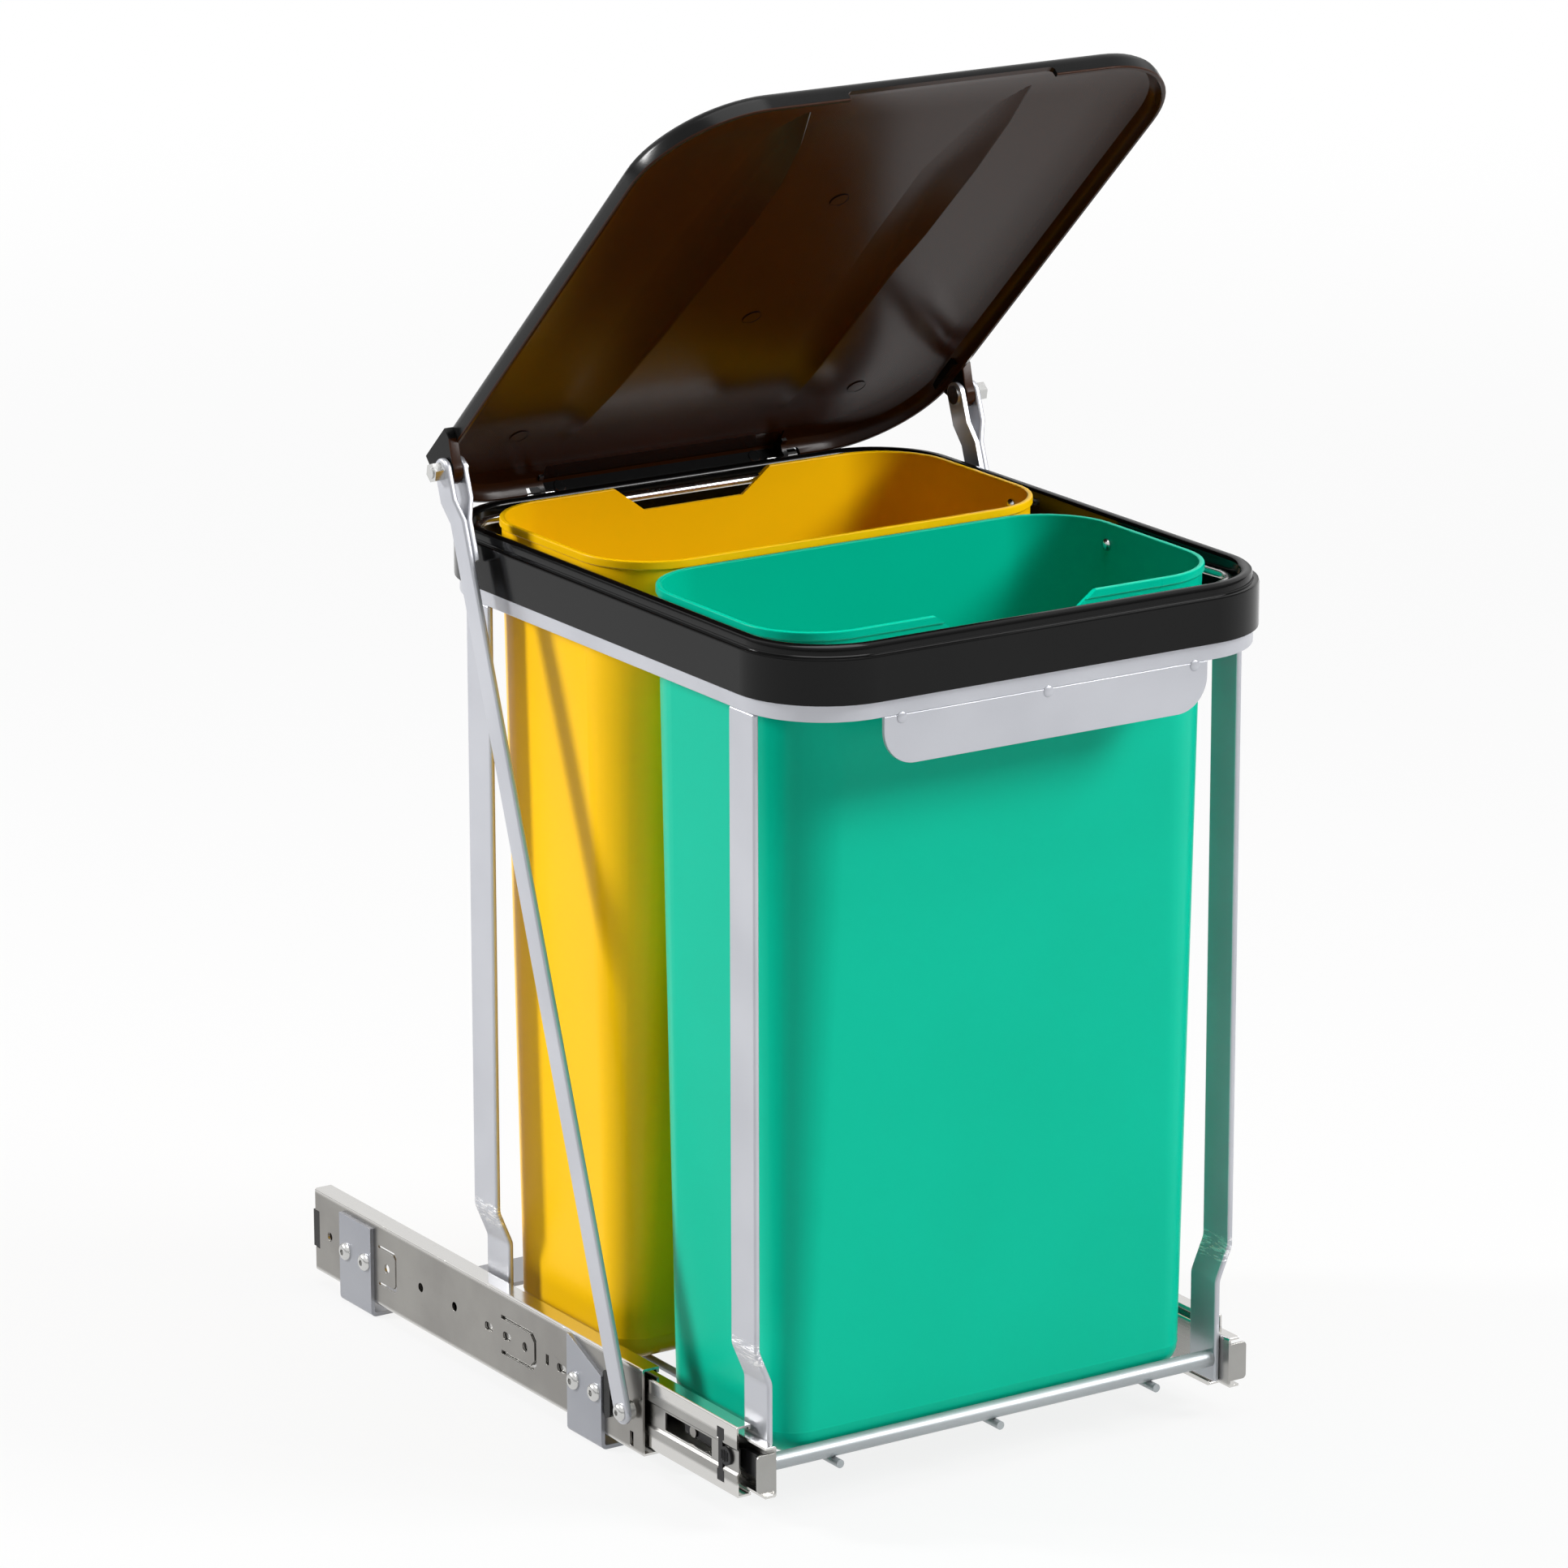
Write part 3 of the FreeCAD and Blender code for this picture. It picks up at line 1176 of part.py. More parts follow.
def stepped_bar(body, top_face, low_face, gauge, foot):
    """Flat bar seen edge-on: a prong, a step of one joggle and a straight run to its foot."""
    sketch = new_sketch(body, "Y", "-arm_width / 2")
    start = "-joggle_start"
    stop = "-joggle_start - joggle_length"
    polygon(sketch, [
        ("-(%s) - %s" % (top_face, gauge), "fork_end"), ("-(%s) - %s" % (top_face, gauge), start),
        ("-(%s) - %s" % (low_face, gauge), stop), ("-(%s) - %s" % (low_face, gauge), foot),
        ("-(%s)" % low_face, foot), ("-(%s)" % low_face, stop),
        ("-(%s)" % top_face, start), ("-(%s)" % top_face, "fork_end"),
    ])
    return pad(body, sketch, "arm_width")


def arm():
    """Flat arm from the cabinet member to the lid's ear."""
    body = new_body("left_arm")
    foot = "-%.6f - arm_width / 2" % arm_length()
    bar = stepped_bar(body, "fork_face", "arm_face", "arm_gauge", foot)
    fillet(body, bar, lambda edge: runs_along(edge, "X"), "arm_width / 2 - 0.1")
    holes = new_sketch(body, "X", "-fork_face - arm_gauge")
    circle(holes, "0", "0", "fork_bolt + 2 * pin_fit")
    pocket(body, holes, "arm_gauge")
    low = new_sketch(body, "X", "-arm_face - arm_gauge")
    circle(low, "0", "-%.6f" % arm_length(), "arm_rivet + 2 * pin_fit")
    pocket(body, low, "arm_gauge")
    return lean_back(body)


def fork_strip():
    """Inner prong of the fork, spot-welded to the arm's inner face."""
    body = new_body("left_fork_strip")
    strip = stepped_bar(body, "strip_face", "arm_face - strip_gauge", "strip_gauge", "-strip_length")
    top = value("fork_end")
    fillet(body, strip, lambda edge: runs_along(edge, "X") and near(edge.Vertexes[0].Z, top),
           "arm_width / 2 - 0.1")
    hole = new_sketch(body, "X", "-strip_face - strip_gauge")
    circle(hole, "0", "0", "fork_bolt + 2 * pin_fit")
    pocket(body, hole, "strip_gauge")
    return lean_back(body)


def fork_bolt():
    """Bolt through both prongs and the lid's ear, with a thin flat head on the inside."""
    x = value("strip_face")
    head = Part.makeCylinder(4.5, value("fork_bolt_head"), FreeCAD.Vector(-x, 0, 0), FreeCAD.Vector(1, 0, 0))
    shank = Part.makeCylinder(value("fork_bolt") / 2, value("fork_face + arm_gauge - strip_face") + 5.6,
                              FreeCAD.Vector(-x, 0, 0), FreeCAD.Vector(-1, 0, 0))
    return lean_back(shape_piece("left_fork_bolt", head.fuse(shank).removeSplitter()))


def fork_nuts():
    """Nut and thin lock nut on the fork bolt."""
    nuts = []
    seat = value("fork_face + arm_gauge")
    for thickness in (3.0, 2.0):
        corners = [FreeCAD.Vector(-seat, 4.6 * math.cos(math.radians(60 * number)),
                                  4.6 * math.sin(math.radians(60 * number))) for number in range(7)]
        nut = Part.Face(Part.makePolygon(corners)).extrude(FreeCAD.Vector(-thickness, 0, 0))
        bore = Part.makeCylinder(value("fork_bolt / 2 + pin_fit"), thickness,
                                 FreeCAD.Vector(-seat, 0, 0), FreeCAD.Vector(-1, 0, 0))
        nuts.append(nut.cut(bore))
        seat += thickness
    return lean_back(shape_piece("left_fork_nuts", Part.makeCompound(nuts)))


def arm_rivet():
    """Pivot screw of the arm's foot."""
    seat = value("arm_face + arm_gauge")
    shape = screw(-seat, 0, -arm_length(), value("arm_rivet_head"), value("screw_head_height"),
                  value("arm_rivet"), seat - value("rivet_inner_end"))
    return lean_back(shape_piece("left_arm_rivet", Part.makeCompound([shape])))


def arm_washer():
    """Spacer washer between the arm's foot and the slide."""
    length = value("arm_face - rivet_inner_end")
    spot = FreeCAD.Vector(-value("arm_face"), 0, -arm_length())
    ring = Part.makeCylinder(4.5, length, spot, FreeCAD.Vector(1, 0, 0))
    bore = Part.makeCylinder(value("arm_rivet / 2 + pin_fit"), length, spot, FreeCAD.Vector(1, 0, 0))
    return lean_back(shape_piece("left_arm_washer", ring.cut(bore)))


# The whole part

def build():
    slide = outer_slide()
    screw_holes_in_web(slide)
    keep_pair(slide, "outer_slide")
    keep_pair(middle_slide(), "middle_slide")
    keep_pair(middle_stop(), "middle_stop")
    keep_pair(inner_slide(), "inner_slide")
    keep_pair(release_lever(), "release_lever")
    keep_pair(lever_rivet(), "lever_rivet")
    keep_pair(outer_ball_cage(), "outer_ball_cage")
    keep_pair(inner_ball_cage(), "inner_ball_cage")
    keep_pair(rear_bumper(), "rear_bumper")
    keep_pair(arm_buffer(), "arm_buffer")
    keep(slanted_top(floor_strap("front_floor_strap", FRONT_STRAP, "front_strap_width", "strap_height")))
    keep(floor_strap("rear_floor_strap", REAR_STRAP, "rear_strap_width", "rear_strap_height"))
    keep_pair(strap_screws(), "strap_screws")
    keep_pair(leg("left_front_leg", FRONT_LEG_FRONT), "front_leg")
    keep_pair(leg("left_rear_leg", REAR_LEG_REAR + " - leg_width"), "rear_leg")
    keep(frame_band())
    keep(pull_plate())
    keep(collar())
    rack()
    green = ("-carriage_out - green_forward", "-1", WIRE_TOP + " + clearance")
    yellow = ("-carriage_out + yellow_back", "1", WIRE_TOP + " + clearance + yellow_step")
    keep(bucket("green_bucket", *green))
    keep(bucket("yellow_bucket", *yellow))
    keep(bail("green_bail", *green))
    keep(bail("yellow_bail", *yellow))
    keep(lid())
    keep_pair(hinge_pin(), "hinge_pin")
    keep_pair(arm(), "arm")
    keep_pair(fork_strip(), "fork_strip")
    keep_pair(fork_bolt(), "fork_bolt")
    keep_pair(fork_nuts(), "fork_nuts")
    keep_pair(arm_rivet(), "arm_rivet")
    keep_pair(arm_washer(), "arm_washer")


build()
doc.recompute()
for item in doc.Objects:
    if "Invalid" in item.State or "Error" in item.State:
        raise RuntimeError("%s failed: %s" % (item.Label, item.State))
for piece in PIECES:
    if piece.Shape.isNull() or not piece.Shape.isValid():
        raise RuntimeError("%s has no valid shape" % piece.Label)
for piece in PIECES:
    piece.Shape.exportStep("parts/%s.step" % piece.Label)
print("%d pieces, %d solids" % (len(PIECES), sum(len(piece.Shape.Solids) for piece in PIECES)))
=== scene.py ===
# %% [markdown]
# # A built-in waste bin on a pull-out carriage
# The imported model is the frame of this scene: every part of the bin is already there at its
# real size, and rides on the body that it moves with. This file gives it its finish. Screws,
# wires and ball cages keep their solids and get materials. Bars and slides get copies with
# softened edges. The moulded parts, whose soft edges and thin walls make the bin look real,
# are modelled here once more and stand in for their plain solids.

# %% Load the frame
import json
import math
import bmesh
import bpy
from mathutils import Euler, Matrix, Vector


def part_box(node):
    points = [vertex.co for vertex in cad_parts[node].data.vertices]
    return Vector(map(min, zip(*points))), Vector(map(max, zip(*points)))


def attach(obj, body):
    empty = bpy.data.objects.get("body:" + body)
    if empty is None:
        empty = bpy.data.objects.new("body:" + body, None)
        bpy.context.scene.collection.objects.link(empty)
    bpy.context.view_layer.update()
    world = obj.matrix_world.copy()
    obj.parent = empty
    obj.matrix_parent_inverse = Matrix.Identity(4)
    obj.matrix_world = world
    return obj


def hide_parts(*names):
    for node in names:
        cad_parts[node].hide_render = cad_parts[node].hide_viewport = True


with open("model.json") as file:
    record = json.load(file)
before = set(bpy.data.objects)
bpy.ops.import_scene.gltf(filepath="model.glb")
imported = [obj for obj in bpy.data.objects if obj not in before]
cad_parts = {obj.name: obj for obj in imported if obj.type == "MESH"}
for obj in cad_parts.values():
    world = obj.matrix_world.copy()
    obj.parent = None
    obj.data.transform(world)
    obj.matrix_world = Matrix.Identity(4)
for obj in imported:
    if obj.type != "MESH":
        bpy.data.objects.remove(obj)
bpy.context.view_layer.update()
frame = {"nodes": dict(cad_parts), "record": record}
nodes = frame["nodes"]
subparts = frame["record"]["subparts"]
bodies = frame["record"]["behaviour"]["bodies"]
MM = 0.001
print("nodes:", len(nodes))

# %% [markdown]
# ## The camera
# The photograph was taken from the left of the front, a little above the buckets, through a
# long lens. A long lens from far away keeps the upright bars parallel, as they are there. The
# camera could be aimed by a constraint, but its angles are written out, so that the same view
# can be set by hand. The Standard view transform shows each colour as it is written.

# %% Set up the camera
CAMERA_PLACE = (-1.7766, -2.7949, 1.2159)
LENS = 168.2
SENSOR = 36
TILT = math.radians(90 - 15.984)
TURN = math.radians(-32.999)
ROLL = math.radians(-0.089)

bpy.context.scene.view_settings.view_transform = "Standard"
camera_data = bpy.data.cameras.new("camera")
camera_data.lens = LENS
camera_data.sensor_width = SENSOR
camera = bpy.data.objects.new("camera", camera_data)
bpy.context.scene.collection.objects.link(camera)
camera.location = CAMERA_PLACE
aim = Euler((TILT, 0, TURN)).to_matrix() @ Matrix.Rotation(ROLL, 3, "Z")
camera.rotation_euler = aim.to_euler()
bpy.context.scene.camera = camera
print("camera at", tuple(round(value, 3) for value in camera.location))

# %% [markdown]
# ## Shader arithmetic
# A procedural material is mostly arithmetic on textures. It could be wired up node by node,
# but that gets long and hard to read. A small class wraps a socket instead, and lets Python's
# own operators add the Math nodes.

# %% Wrap a socket
class Signal:
    """A socket's value that takes part in ordinary arithmetic."""

    def __init__(self, graph, socket):
        self.graph = graph
        self.socket = socket

    def combine(self, operation, *others):
        values = dict(enumerate((self,) + others))
        return self.graph.add("ShaderNodeMath", {"operation": operation}, values)

    def __add__(self, other):
        return self.combine("ADD", other)

    def __radd__(self, other):
        return self.combine("ADD", other)

    def __sub__(self, other):
        return self.combine("SUBTRACT", other)

    def __rsub__(self, other):
        return self.combine("MULTIPLY_ADD", -1.0, other)

    def __mul__(self, other):
        return self.combine("MULTIPLY", other)

    def __rmul__(self, other):
        return self.combine("MULTIPLY", other)

    def above(self, low, high):
        """0 below low, 1 above high, and a smooth rise between them."""
        return self.graph.add("ShaderNodeMapRange", {"interpolation_type": "SMOOTHSTEP"},
                              {"Value": self, "From Min": low, "From Max": high}, "Result")


print("signals add, subtract and multiply")

# %% [markdown]
# ## Trees and finishes
# Anything that isn't arithmetic comes from one method that adds a node of any kind. It works
# on the tree of a material, of the floor and of the world alike, so it sits in a class of its
# own. A finish is such a tree with one principled shader, which suits plastic, paint and
# steel, and with the object's own coordinates, so that a pattern stays on a part that moves.

# %% Add nodes
class Graph:
    """A node tree under construction."""

    def __init__(self, tree):
        self.tree = tree

    def give(self, socket, value):
        """Set a socket to a value, or link a signal to it."""
        if isinstance(value, Signal):
            self.tree.links.new(value.socket, socket)
        else:
            socket.default_value = value

    def add(self, kind, settings, values, output=0):
        """Add a node, set it up, feed its sockets and hand back one of its outputs."""
        node = self.tree.nodes.new(kind)
        for name, value in settings.items():
            setattr(node, name, value)
        for name, value in values.items():
            self.give(node.inputs[name], value)
        return Signal(self, node.outputs[output])


def rgb(red, green, blue):
    return (red, green, blue, 1.0)


# %% Build a finish
class Finish(Graph):
    """A material under construction: one principled shader and what feeds it."""

    def __init__(self, name, **constants):
        self.material = bpy.data.materials.new(name)
        self.material.use_nodes = True
        super().__init__(self.material.node_tree)
        self.shader = self.tree.nodes["Principled BSDF"]
        self.feed(**constants)
        self.place = self.add("ShaderNodeTexCoord", {}, {}, "Object")

    def feed(self, **values):
        """Give the shader's sockets values or signals, and hand back the material."""
        for name, value in values.items():
            self.give(self.shader.inputs[name.replace("_", " ")], value)
        return self.material

    def height(self):
        """The height above the floor in metres."""
        return self.add("ShaderNodeSeparateXYZ", {}, {"Vector": self.place}, "Z")

    def noise(self, scale, detail=3.0, roughness=0.55, stretch=(1, 1, 1)):
        """Soft random variation, in patches of about 1/scale metres."""
        place = self.add("ShaderNodeMapping", {}, {"Vector": self.place, "Scale": stretch})
        return self.add("ShaderNodeTexNoise", {},
                        {"Vector": place, "Scale": scale, "Detail": detail, "Roughness": roughness},
                        "Fac")

    def blend(self, amount, first, second):
        """A colour between two colours."""
        return self.add("ShaderNodeMix", {"data_type": "RGBA"}, {0: amount, 6: first, 7: second}, 2)

    def bump(self, height, distance, strength):
        """A relief of the given depth in metres."""
        return self.add("ShaderNodeBump", {},
                        {"Height": height, "Distance": distance, "Strength": strength}, "Normal")


print("finishes can be built")

# %% [markdown]
# ## Moulded plastic
# The buckets are polypropylene: full colour, a soft sheen, and very faint flow marks and scuffs that
# only show in the gloss. The collar and the lid are black and shinier, and the lid's underside is
# painted warm brown: a painted reflection of the orange buckets below it. Each could have a tree of its
# own, but they are the same recipe with other numbers, so one function makes them all.

# %% Plastics
def moulded_plastic(name, colour, shade, gloss, grain, scuffs, shine, painted_reflection=None):
    """Plastic in two near tints. With a painted reflection tint, faces marked as underside take that
    painted reflection.
    """
    finish = Finish(name, IOR=1.49, Specular_IOR_Level=shine)
    cloud = finish.noise(9.0, detail=2.0)
    fine = finish.noise(2200.0, detail=2.0)
    streaks = finish.noise(160.0, detail=4.0, stretch=(1.0, 1.0, 0.08))
    scratch = finish.noise(420.0, detail=5.0, roughness=0.7, stretch=(0.05, 1.0, 1.0)).above(0.62, 0.72)
    tint = finish.blend(cloud.above(0.35, 0.7) * 0.6, rgb(*colour), rgb(*shade))
    if painted_reflection:
        # Faces marked as underside take a painted reflection: the warm brown that the buckets cast on
        # them.
        marked = finish.add("ShaderNodeAttribute", {"attribute_name": "underside"}, {}, "Fac")
        tint = finish.blend(marked * (0.7 + 0.5 * cloud), tint, rgb(*painted_reflection))
    rough = gloss + 0.06 * cloud + 0.05 * streaks + scuffs * scratch
    relief = finish.bump(fine + 0.4 * streaks, grain, 0.5)
    return finish.feed(Base_Color=tint, Roughness=rough, Normal=relief)


yellow_plastic = moulded_plastic("yellow_plastic", (1.0, 0.575, 0.002), (0.97, 0.545, 0.001),
                                 gloss=0.24, grain=0.00003, scuffs=0.06, shine=0.13)
green_plastic = moulded_plastic("green_plastic", (0.0, 0.51, 0.33), (0.0, 0.48, 0.305),
                                gloss=0.24, grain=0.00003, scuffs=0.06, shine=0.09)
collar_plastic = moulded_plastic("collar_plastic", (0.002, 0.002, 0.002), (0.004, 0.004, 0.004),
                                 gloss=0.07, grain=0.00002, scuffs=0.05, shine=0.2)
# The lid's warm brown under tint is a painted reflection of the buckets, not the plastic's own colour.
lid_plastic = moulded_plastic("lid_plastic", (0.004, 0.004, 0.004), (0.006, 0.006, 0.006),
                              gloss=0.16, grain=0.00002, scuffs=0.0, shine=0.12,
                              painted_reflection=(0.030, 0.0088, 0.0022))
black_plastic = moulded_plastic("black_plastic", (0.008, 0.008, 0.009), (0.013, 0.013, 0.014),
                                gloss=0.28, grain=0.00004, scuffs=0.08, shine=0.25)
black_rubber = moulded_plastic("black_rubber", (0.007, 0.007, 0.007), (0.011, 0.011, 0.011),
                               gloss=0.22, grain=0.00004, scuffs=0.10, shine=0.25)
print("plastics:", [m.name for m in bpy.data.materials if "plastic" in m.name or "rubber" in m.name])

# %% [markdown]
# ## Powder coat
# The frame is flat bar with a silver-grey powder coat, whose surface has a very fine
# orange-peel relief. Over the bends of the legs the paint looks crazed, with small bright
# cracks. A separate piece could carry them, but a mask on the height is
# enough, because the bends of all four legs lie between the same two heights.

# %% Paints
LEG_BEND = (0.074, 0.087)


def powder_coat(name, pale, dark, gloss=0.24, bend=None):
    """Coat in two near tints. With a bend, it is crazed over that stretch of height in metres."""
    finish = Finish(name, Metallic=0.55, IOR=1.5)
    peel = finish.noise(1500.0, detail=1.5)
    cloud = finish.noise(14.0, detail=2.0)
    tint = finish.blend(cloud.above(0.3, 0.7), rgb(*dark), rgb(*pale))
    rough = gloss + 0.10 * cloud + 0.04 * peel
    relief = peel
    if bend:
        low, high = bend
        height = finish.height()
        there = height.above(low, low + 0.002) * (1 - height.above(high - 0.002, high))
        cracks = finish.noise(520.0, detail=4.0, stretch=(1.0, 0.35, 2.2)).above(0.50, 0.58)
        crazed = there * cracks
        tint = finish.blend(crazed, tint, rgb(0.86, 0.86, 0.87))
        rough = rough - 0.16 * crazed
        relief = peel + 4.0 * crazed
    return finish.feed(Base_Color=tint, Roughness=rough, Normal=finish.bump(relief, 0.00005, 0.5))


SILVER = ((0.55, 0.56, 0.60), (0.49, 0.50, 0.54))
grey_paint = powder_coat("grey_paint", *SILVER)
leg_paint = powder_coat("leg_paint", *SILVER, bend=LEG_BEND)
wire_paint = powder_coat("wire_paint", (0.41, 0.435, 0.45), (0.36, 0.385, 0.40), gloss=0.34)
strap_paint = powder_coat("strap_paint", (0.36, 0.37, 0.40), (0.31, 0.32, 0.355))
print("paints:", [m.name for m in bpy.data.materials if "paint" in m.name])

# %% [markdown]
# ## Rolled steel
# The slides are zinc-plated rolled steel: a warm grey metal with faint streaks along the rolling
# direction. Their folded edges are smoother than the web between them, and they are painted lighter: a
# painted highlight of the light that they catch. That could be a second material, but a mask on the
# distance from the slides' middle height follows the folds by itself. Screws, nuts and the wire bails
# are brighter still and have no such edges.

# %% Steels
SLIDE_MIDDLE = 0.028


def rolled_steel(name, colour, shade, gloss, polish_and_highlight_from=None):
    """Steel in two near tints. Beyond a given distance from the middle, it is smoother and painted
    lighter as a highlight.
    """
    finish = Finish(name, Metallic=1.0)
    streaks = finish.noise(900.0, detail=4.0, roughness=0.65, stretch=(1.0, 0.02, 1.0))
    cloud = finish.noise(22.0, detail=3.0)
    spots = finish.noise(380.0, detail=3.0).above(0.62, 0.75)
    tint = finish.blend(cloud.above(0.3, 0.7), rgb(*colour), rgb(*shade))
    rough = gloss + 0.10 * streaks + 0.08 * cloud + 0.10 * spots
    if polish_and_highlight_from:
        away = (finish.height() - SLIDE_MIDDLE).combine("ABSOLUTE")
        fold_polish_and_highlight = away.above(polish_and_highlight_from - 0.0012, polish_and_highlight_from + 0.0008)
        # The lighter colour on the folds is a painted highlight. The lower roughness makes them
        # smoother.
        tint = finish.blend(fold_polish_and_highlight, tint, rgb(0.66, 0.65, 0.63))
        rough = rough - 0.16 * fold_polish_and_highlight
    return finish.feed(Base_Color=tint, Roughness=rough, Normal=finish.bump(streaks, 0.00003, 0.4))


zinc_steel = rolled_steel("zinc_steel", (0.27, 0.26, 0.245), (0.33, 0.32, 0.30),
                          gloss=0.22, polish_and_highlight_from=0.0196)
track_steel = rolled_steel("track_steel", (0.33, 0.325, 0.31), (0.40, 0.395, 0.38),
                           gloss=0.20, polish_and_highlight_from=0.0107)
bright_steel = rolled_steel("bright_steel", (0.56, 0.56, 0.55), (0.64, 0.64, 0.63), gloss=0.14)
print("steels:", [m.name for m in bpy.data.materials if "steel" in m.name])

# %% [markdown]
# ## Finishes on the frame's own solids
# The record says which slot each node takes. A node that keeps its solid gets the matching
# finish in place of the plain one it was packed with. The wires of the rack are a duller grey
# than the bars, so they get a paint of their own.

# %% Give the solids their finishes
FINISHES = {
    "zinc_steel": zinc_steel, "bright_steel": bright_steel, "grey_paint": grey_paint,
    "dark_plastic": collar_plastic, "black_plastic": black_plastic,
    "black_rubber": black_rubber, "green_plastic": green_plastic,
    "yellow_plastic": yellow_plastic,
}
WIRES = ("front_rod", "left_rack_wire", "centre_rack_wire", "right_rack_wire", "cross_wire")
for subpart in subparts:
    finish = wire_paint if subpart["node"] in WIRES else FINISHES[subpart["material_slot"]]
    for slot in nodes[subpart["node"]].material_slots:
        slot.material = finish
print("finished:", len(subparts))

# %% [markdown]
# ## Rings
# Most moulded parts of the bin are rounded rectangles that change in size with height, so
# they are built as a stack of rings. An extruded and scaled plane would keep the proportions
# of its corners, which are wrong here. A ring is drawn as by hand instead: a plane, its four
# corners bevelled, its face deleted.

# %% Draw a ring
def metres(place):
    """A place or a step in millimetres, as Blender takes it."""
    return tuple(part * MM for part in place)


def start_piece(name):
    """A new object in edit mode, with an empty mesh."""
    bpy.ops.object.select_all(action="DESELECT")
    bpy.ops.mesh.primitive_plane_add(size=1, location=(0, 0, 0))
    piece = bpy.context.object
    piece.name = name
    piece.data.name = name
    bpy.ops.object.mode_set(mode="EDIT")
    bpy.ops.mesh.delete(type="VERT")
    return piece


def add_ring(half_width, half_depth, corner, height, middle=0.0, steps=12):
    """A closed line of edges: a rounded rectangle at a height, all in millimetres."""
    bpy.ops.mesh.select_all(action="DESELECT")
    spot = (0, middle * MM, height * MM)
    bpy.ops.mesh.primitive_plane_add(size=1, location=spot)
    bpy.ops.transform.resize(value=(2 * half_width * MM, 2 * half_depth * MM, 1), center_override=spot)
    bpy.ops.mesh.bevel(offset=corner * MM, offset_type="OFFSET", segments=steps,
                       affect="VERTICES", clamp_overlap=False)
    bpy.ops.mesh.delete(type="ONLY_FACE")


print("a ring has", 4 * (12 + 1), "points")

# %% [markdown]
# ## From rings to a shell
# Neighbouring rings are bridged, which gives one band of faces each time. The first and the
# last ring are capped with a face, or joined to each other where the shell is itself a ring.
# Points are picked by their number, because each ring's points follow those of the last.

# %% Bridge the rings
def select_points(piece, numbers):
    """Select the points with these numbers, and the edges between them."""
    bpy.ops.mesh.select_all(action="DESELECT")
    mesh = bmesh.from_edit_mesh(piece.data)
    mesh.verts.ensure_lookup_table()
    for number in numbers:
        mesh.verts[number].select = True
    mesh.select_flush_mode()
    bmesh.update_edit_mesh(piece.data)


def face_outwards():
    """Turn all faces of a closed mesh outwards, and leave edit mode."""
    bpy.ops.mesh.select_all(action="SELECT")
    bpy.ops.mesh.normals_make_consistent(inside=False)
    bpy.ops.object.mode_set(mode="OBJECT")


def bridge_rings(piece, count, closed=False):
    """Join each ring to the next, and cap the first and the last or join them too."""
    size = len(bmesh.from_edit_mesh(piece.data).verts) // count
    rings = [range(number * size, (number + 1) * size) for number in range(count)]
    pairs = list(zip(rings, rings[1:]))
    if closed:
        pairs.append((rings[0], rings[-1]))
    for lower, upper in pairs:
        select_points(piece, [*lower, *upper])
        bpy.ops.mesh.bridge_edge_loops()
    if not closed:
        for end in (rings[0], rings[-1]):
            select_points(piece, end)
            bpy.ops.mesh.edge_face_add()
    face_outwards()


print("rings can be bridged")

# %% [markdown]
# ## Outlines
# Hinge roots, ears and all the shapes that are cut out of a moulding are prisms. Their
# corners could be extruded from point to point by hand, but they are known numbers, so they
# are set down as points. A face fills them, and is then extruded as by hand.

# %% Draw an outline
def prism(name, outline, start, length, along="X"):
    """An outline in Y and Z, extruded along X, or one in X and Z, extruded along Y."""
    if along == "X":
        corners = [(start, y, z) for y, z in outline]
        step = (length, 0, 0)
    else:
        corners = [(x, start, z) for x, z in outline]
        step = (0, length, 0)
    piece = start_piece(name)
    mesh = bmesh.from_edit_mesh(piece.data)
    for corner in corners:
        mesh.verts.new(metres(corner))
    bmesh.update_edit_mesh(piece.data)
    bpy.ops.mesh.select_all(action="SELECT")
    bpy.ops.mesh.edge_face_add()
    bpy.ops.mesh.extrude_region_move(TRANSFORM_OT_translate={"value": metres(step)})
    face_outwards()
    return piece


print("outlines can be drawn")

# %% [markdown]
# ## Modifiers
# Booleans cut holes and melt shapes together, and a weighted normal modifier keeps flat
# faces flat beside rounded ones. Each is applied as soon as it is added, so that every piece
# ends as a plain mesh.

# %% Apply modifiers
def pick(piece):
    """Select one object alone and make it the active one."""
    bpy.ops.object.select_all(action="DESELECT")
    piece.select_set(True)
    bpy.context.view_layer.objects.active = piece


def apply_step(piece, kind, **settings):
    """Add a modifier, set it up and apply it."""
    step = piece.modifiers.new(kind, kind)
    for name, value in settings.items():
        setattr(step, name, value)
    pick(piece)
    bpy.ops.object.modifier_apply(modifier=step.name)


def cut_away(piece, cutter):
    """Take one closed shape out of another, and delete the cutter."""
    apply_step(piece, "BOOLEAN", object=cutter, operation="DIFFERENCE", solver="EXACT")
    bpy.data.objects.remove(cutter)


def melt_in(piece, other):
    """Melt a closed shape into a piece."""
    apply_step(piece, "BOOLEAN", object=other, operation="UNION", solver="EXACT")
    bpy.data.objects.remove(other)


def smooth(piece, degrees=32):
    """Shade gentle bends as curves, and keep real edges crisp."""
    pick(piece)
    bpy.ops.object.shade_smooth_by_angle(angle=math.radians(degrees))
    apply_step(piece, "WEIGHTED_NORMAL", keep_sharp=True)


def finish_piece(piece, material, body, slot, *stands_for):
    """Give a piece its material, its body and the nodes that it stands for."""
    piece.data.materials.clear()
    piece.data.materials.append(material)
    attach(piece, body)
    if stands_for:
        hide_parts(*stands_for)
    print(piece.name, "faces:", len(piece.data.polygons))


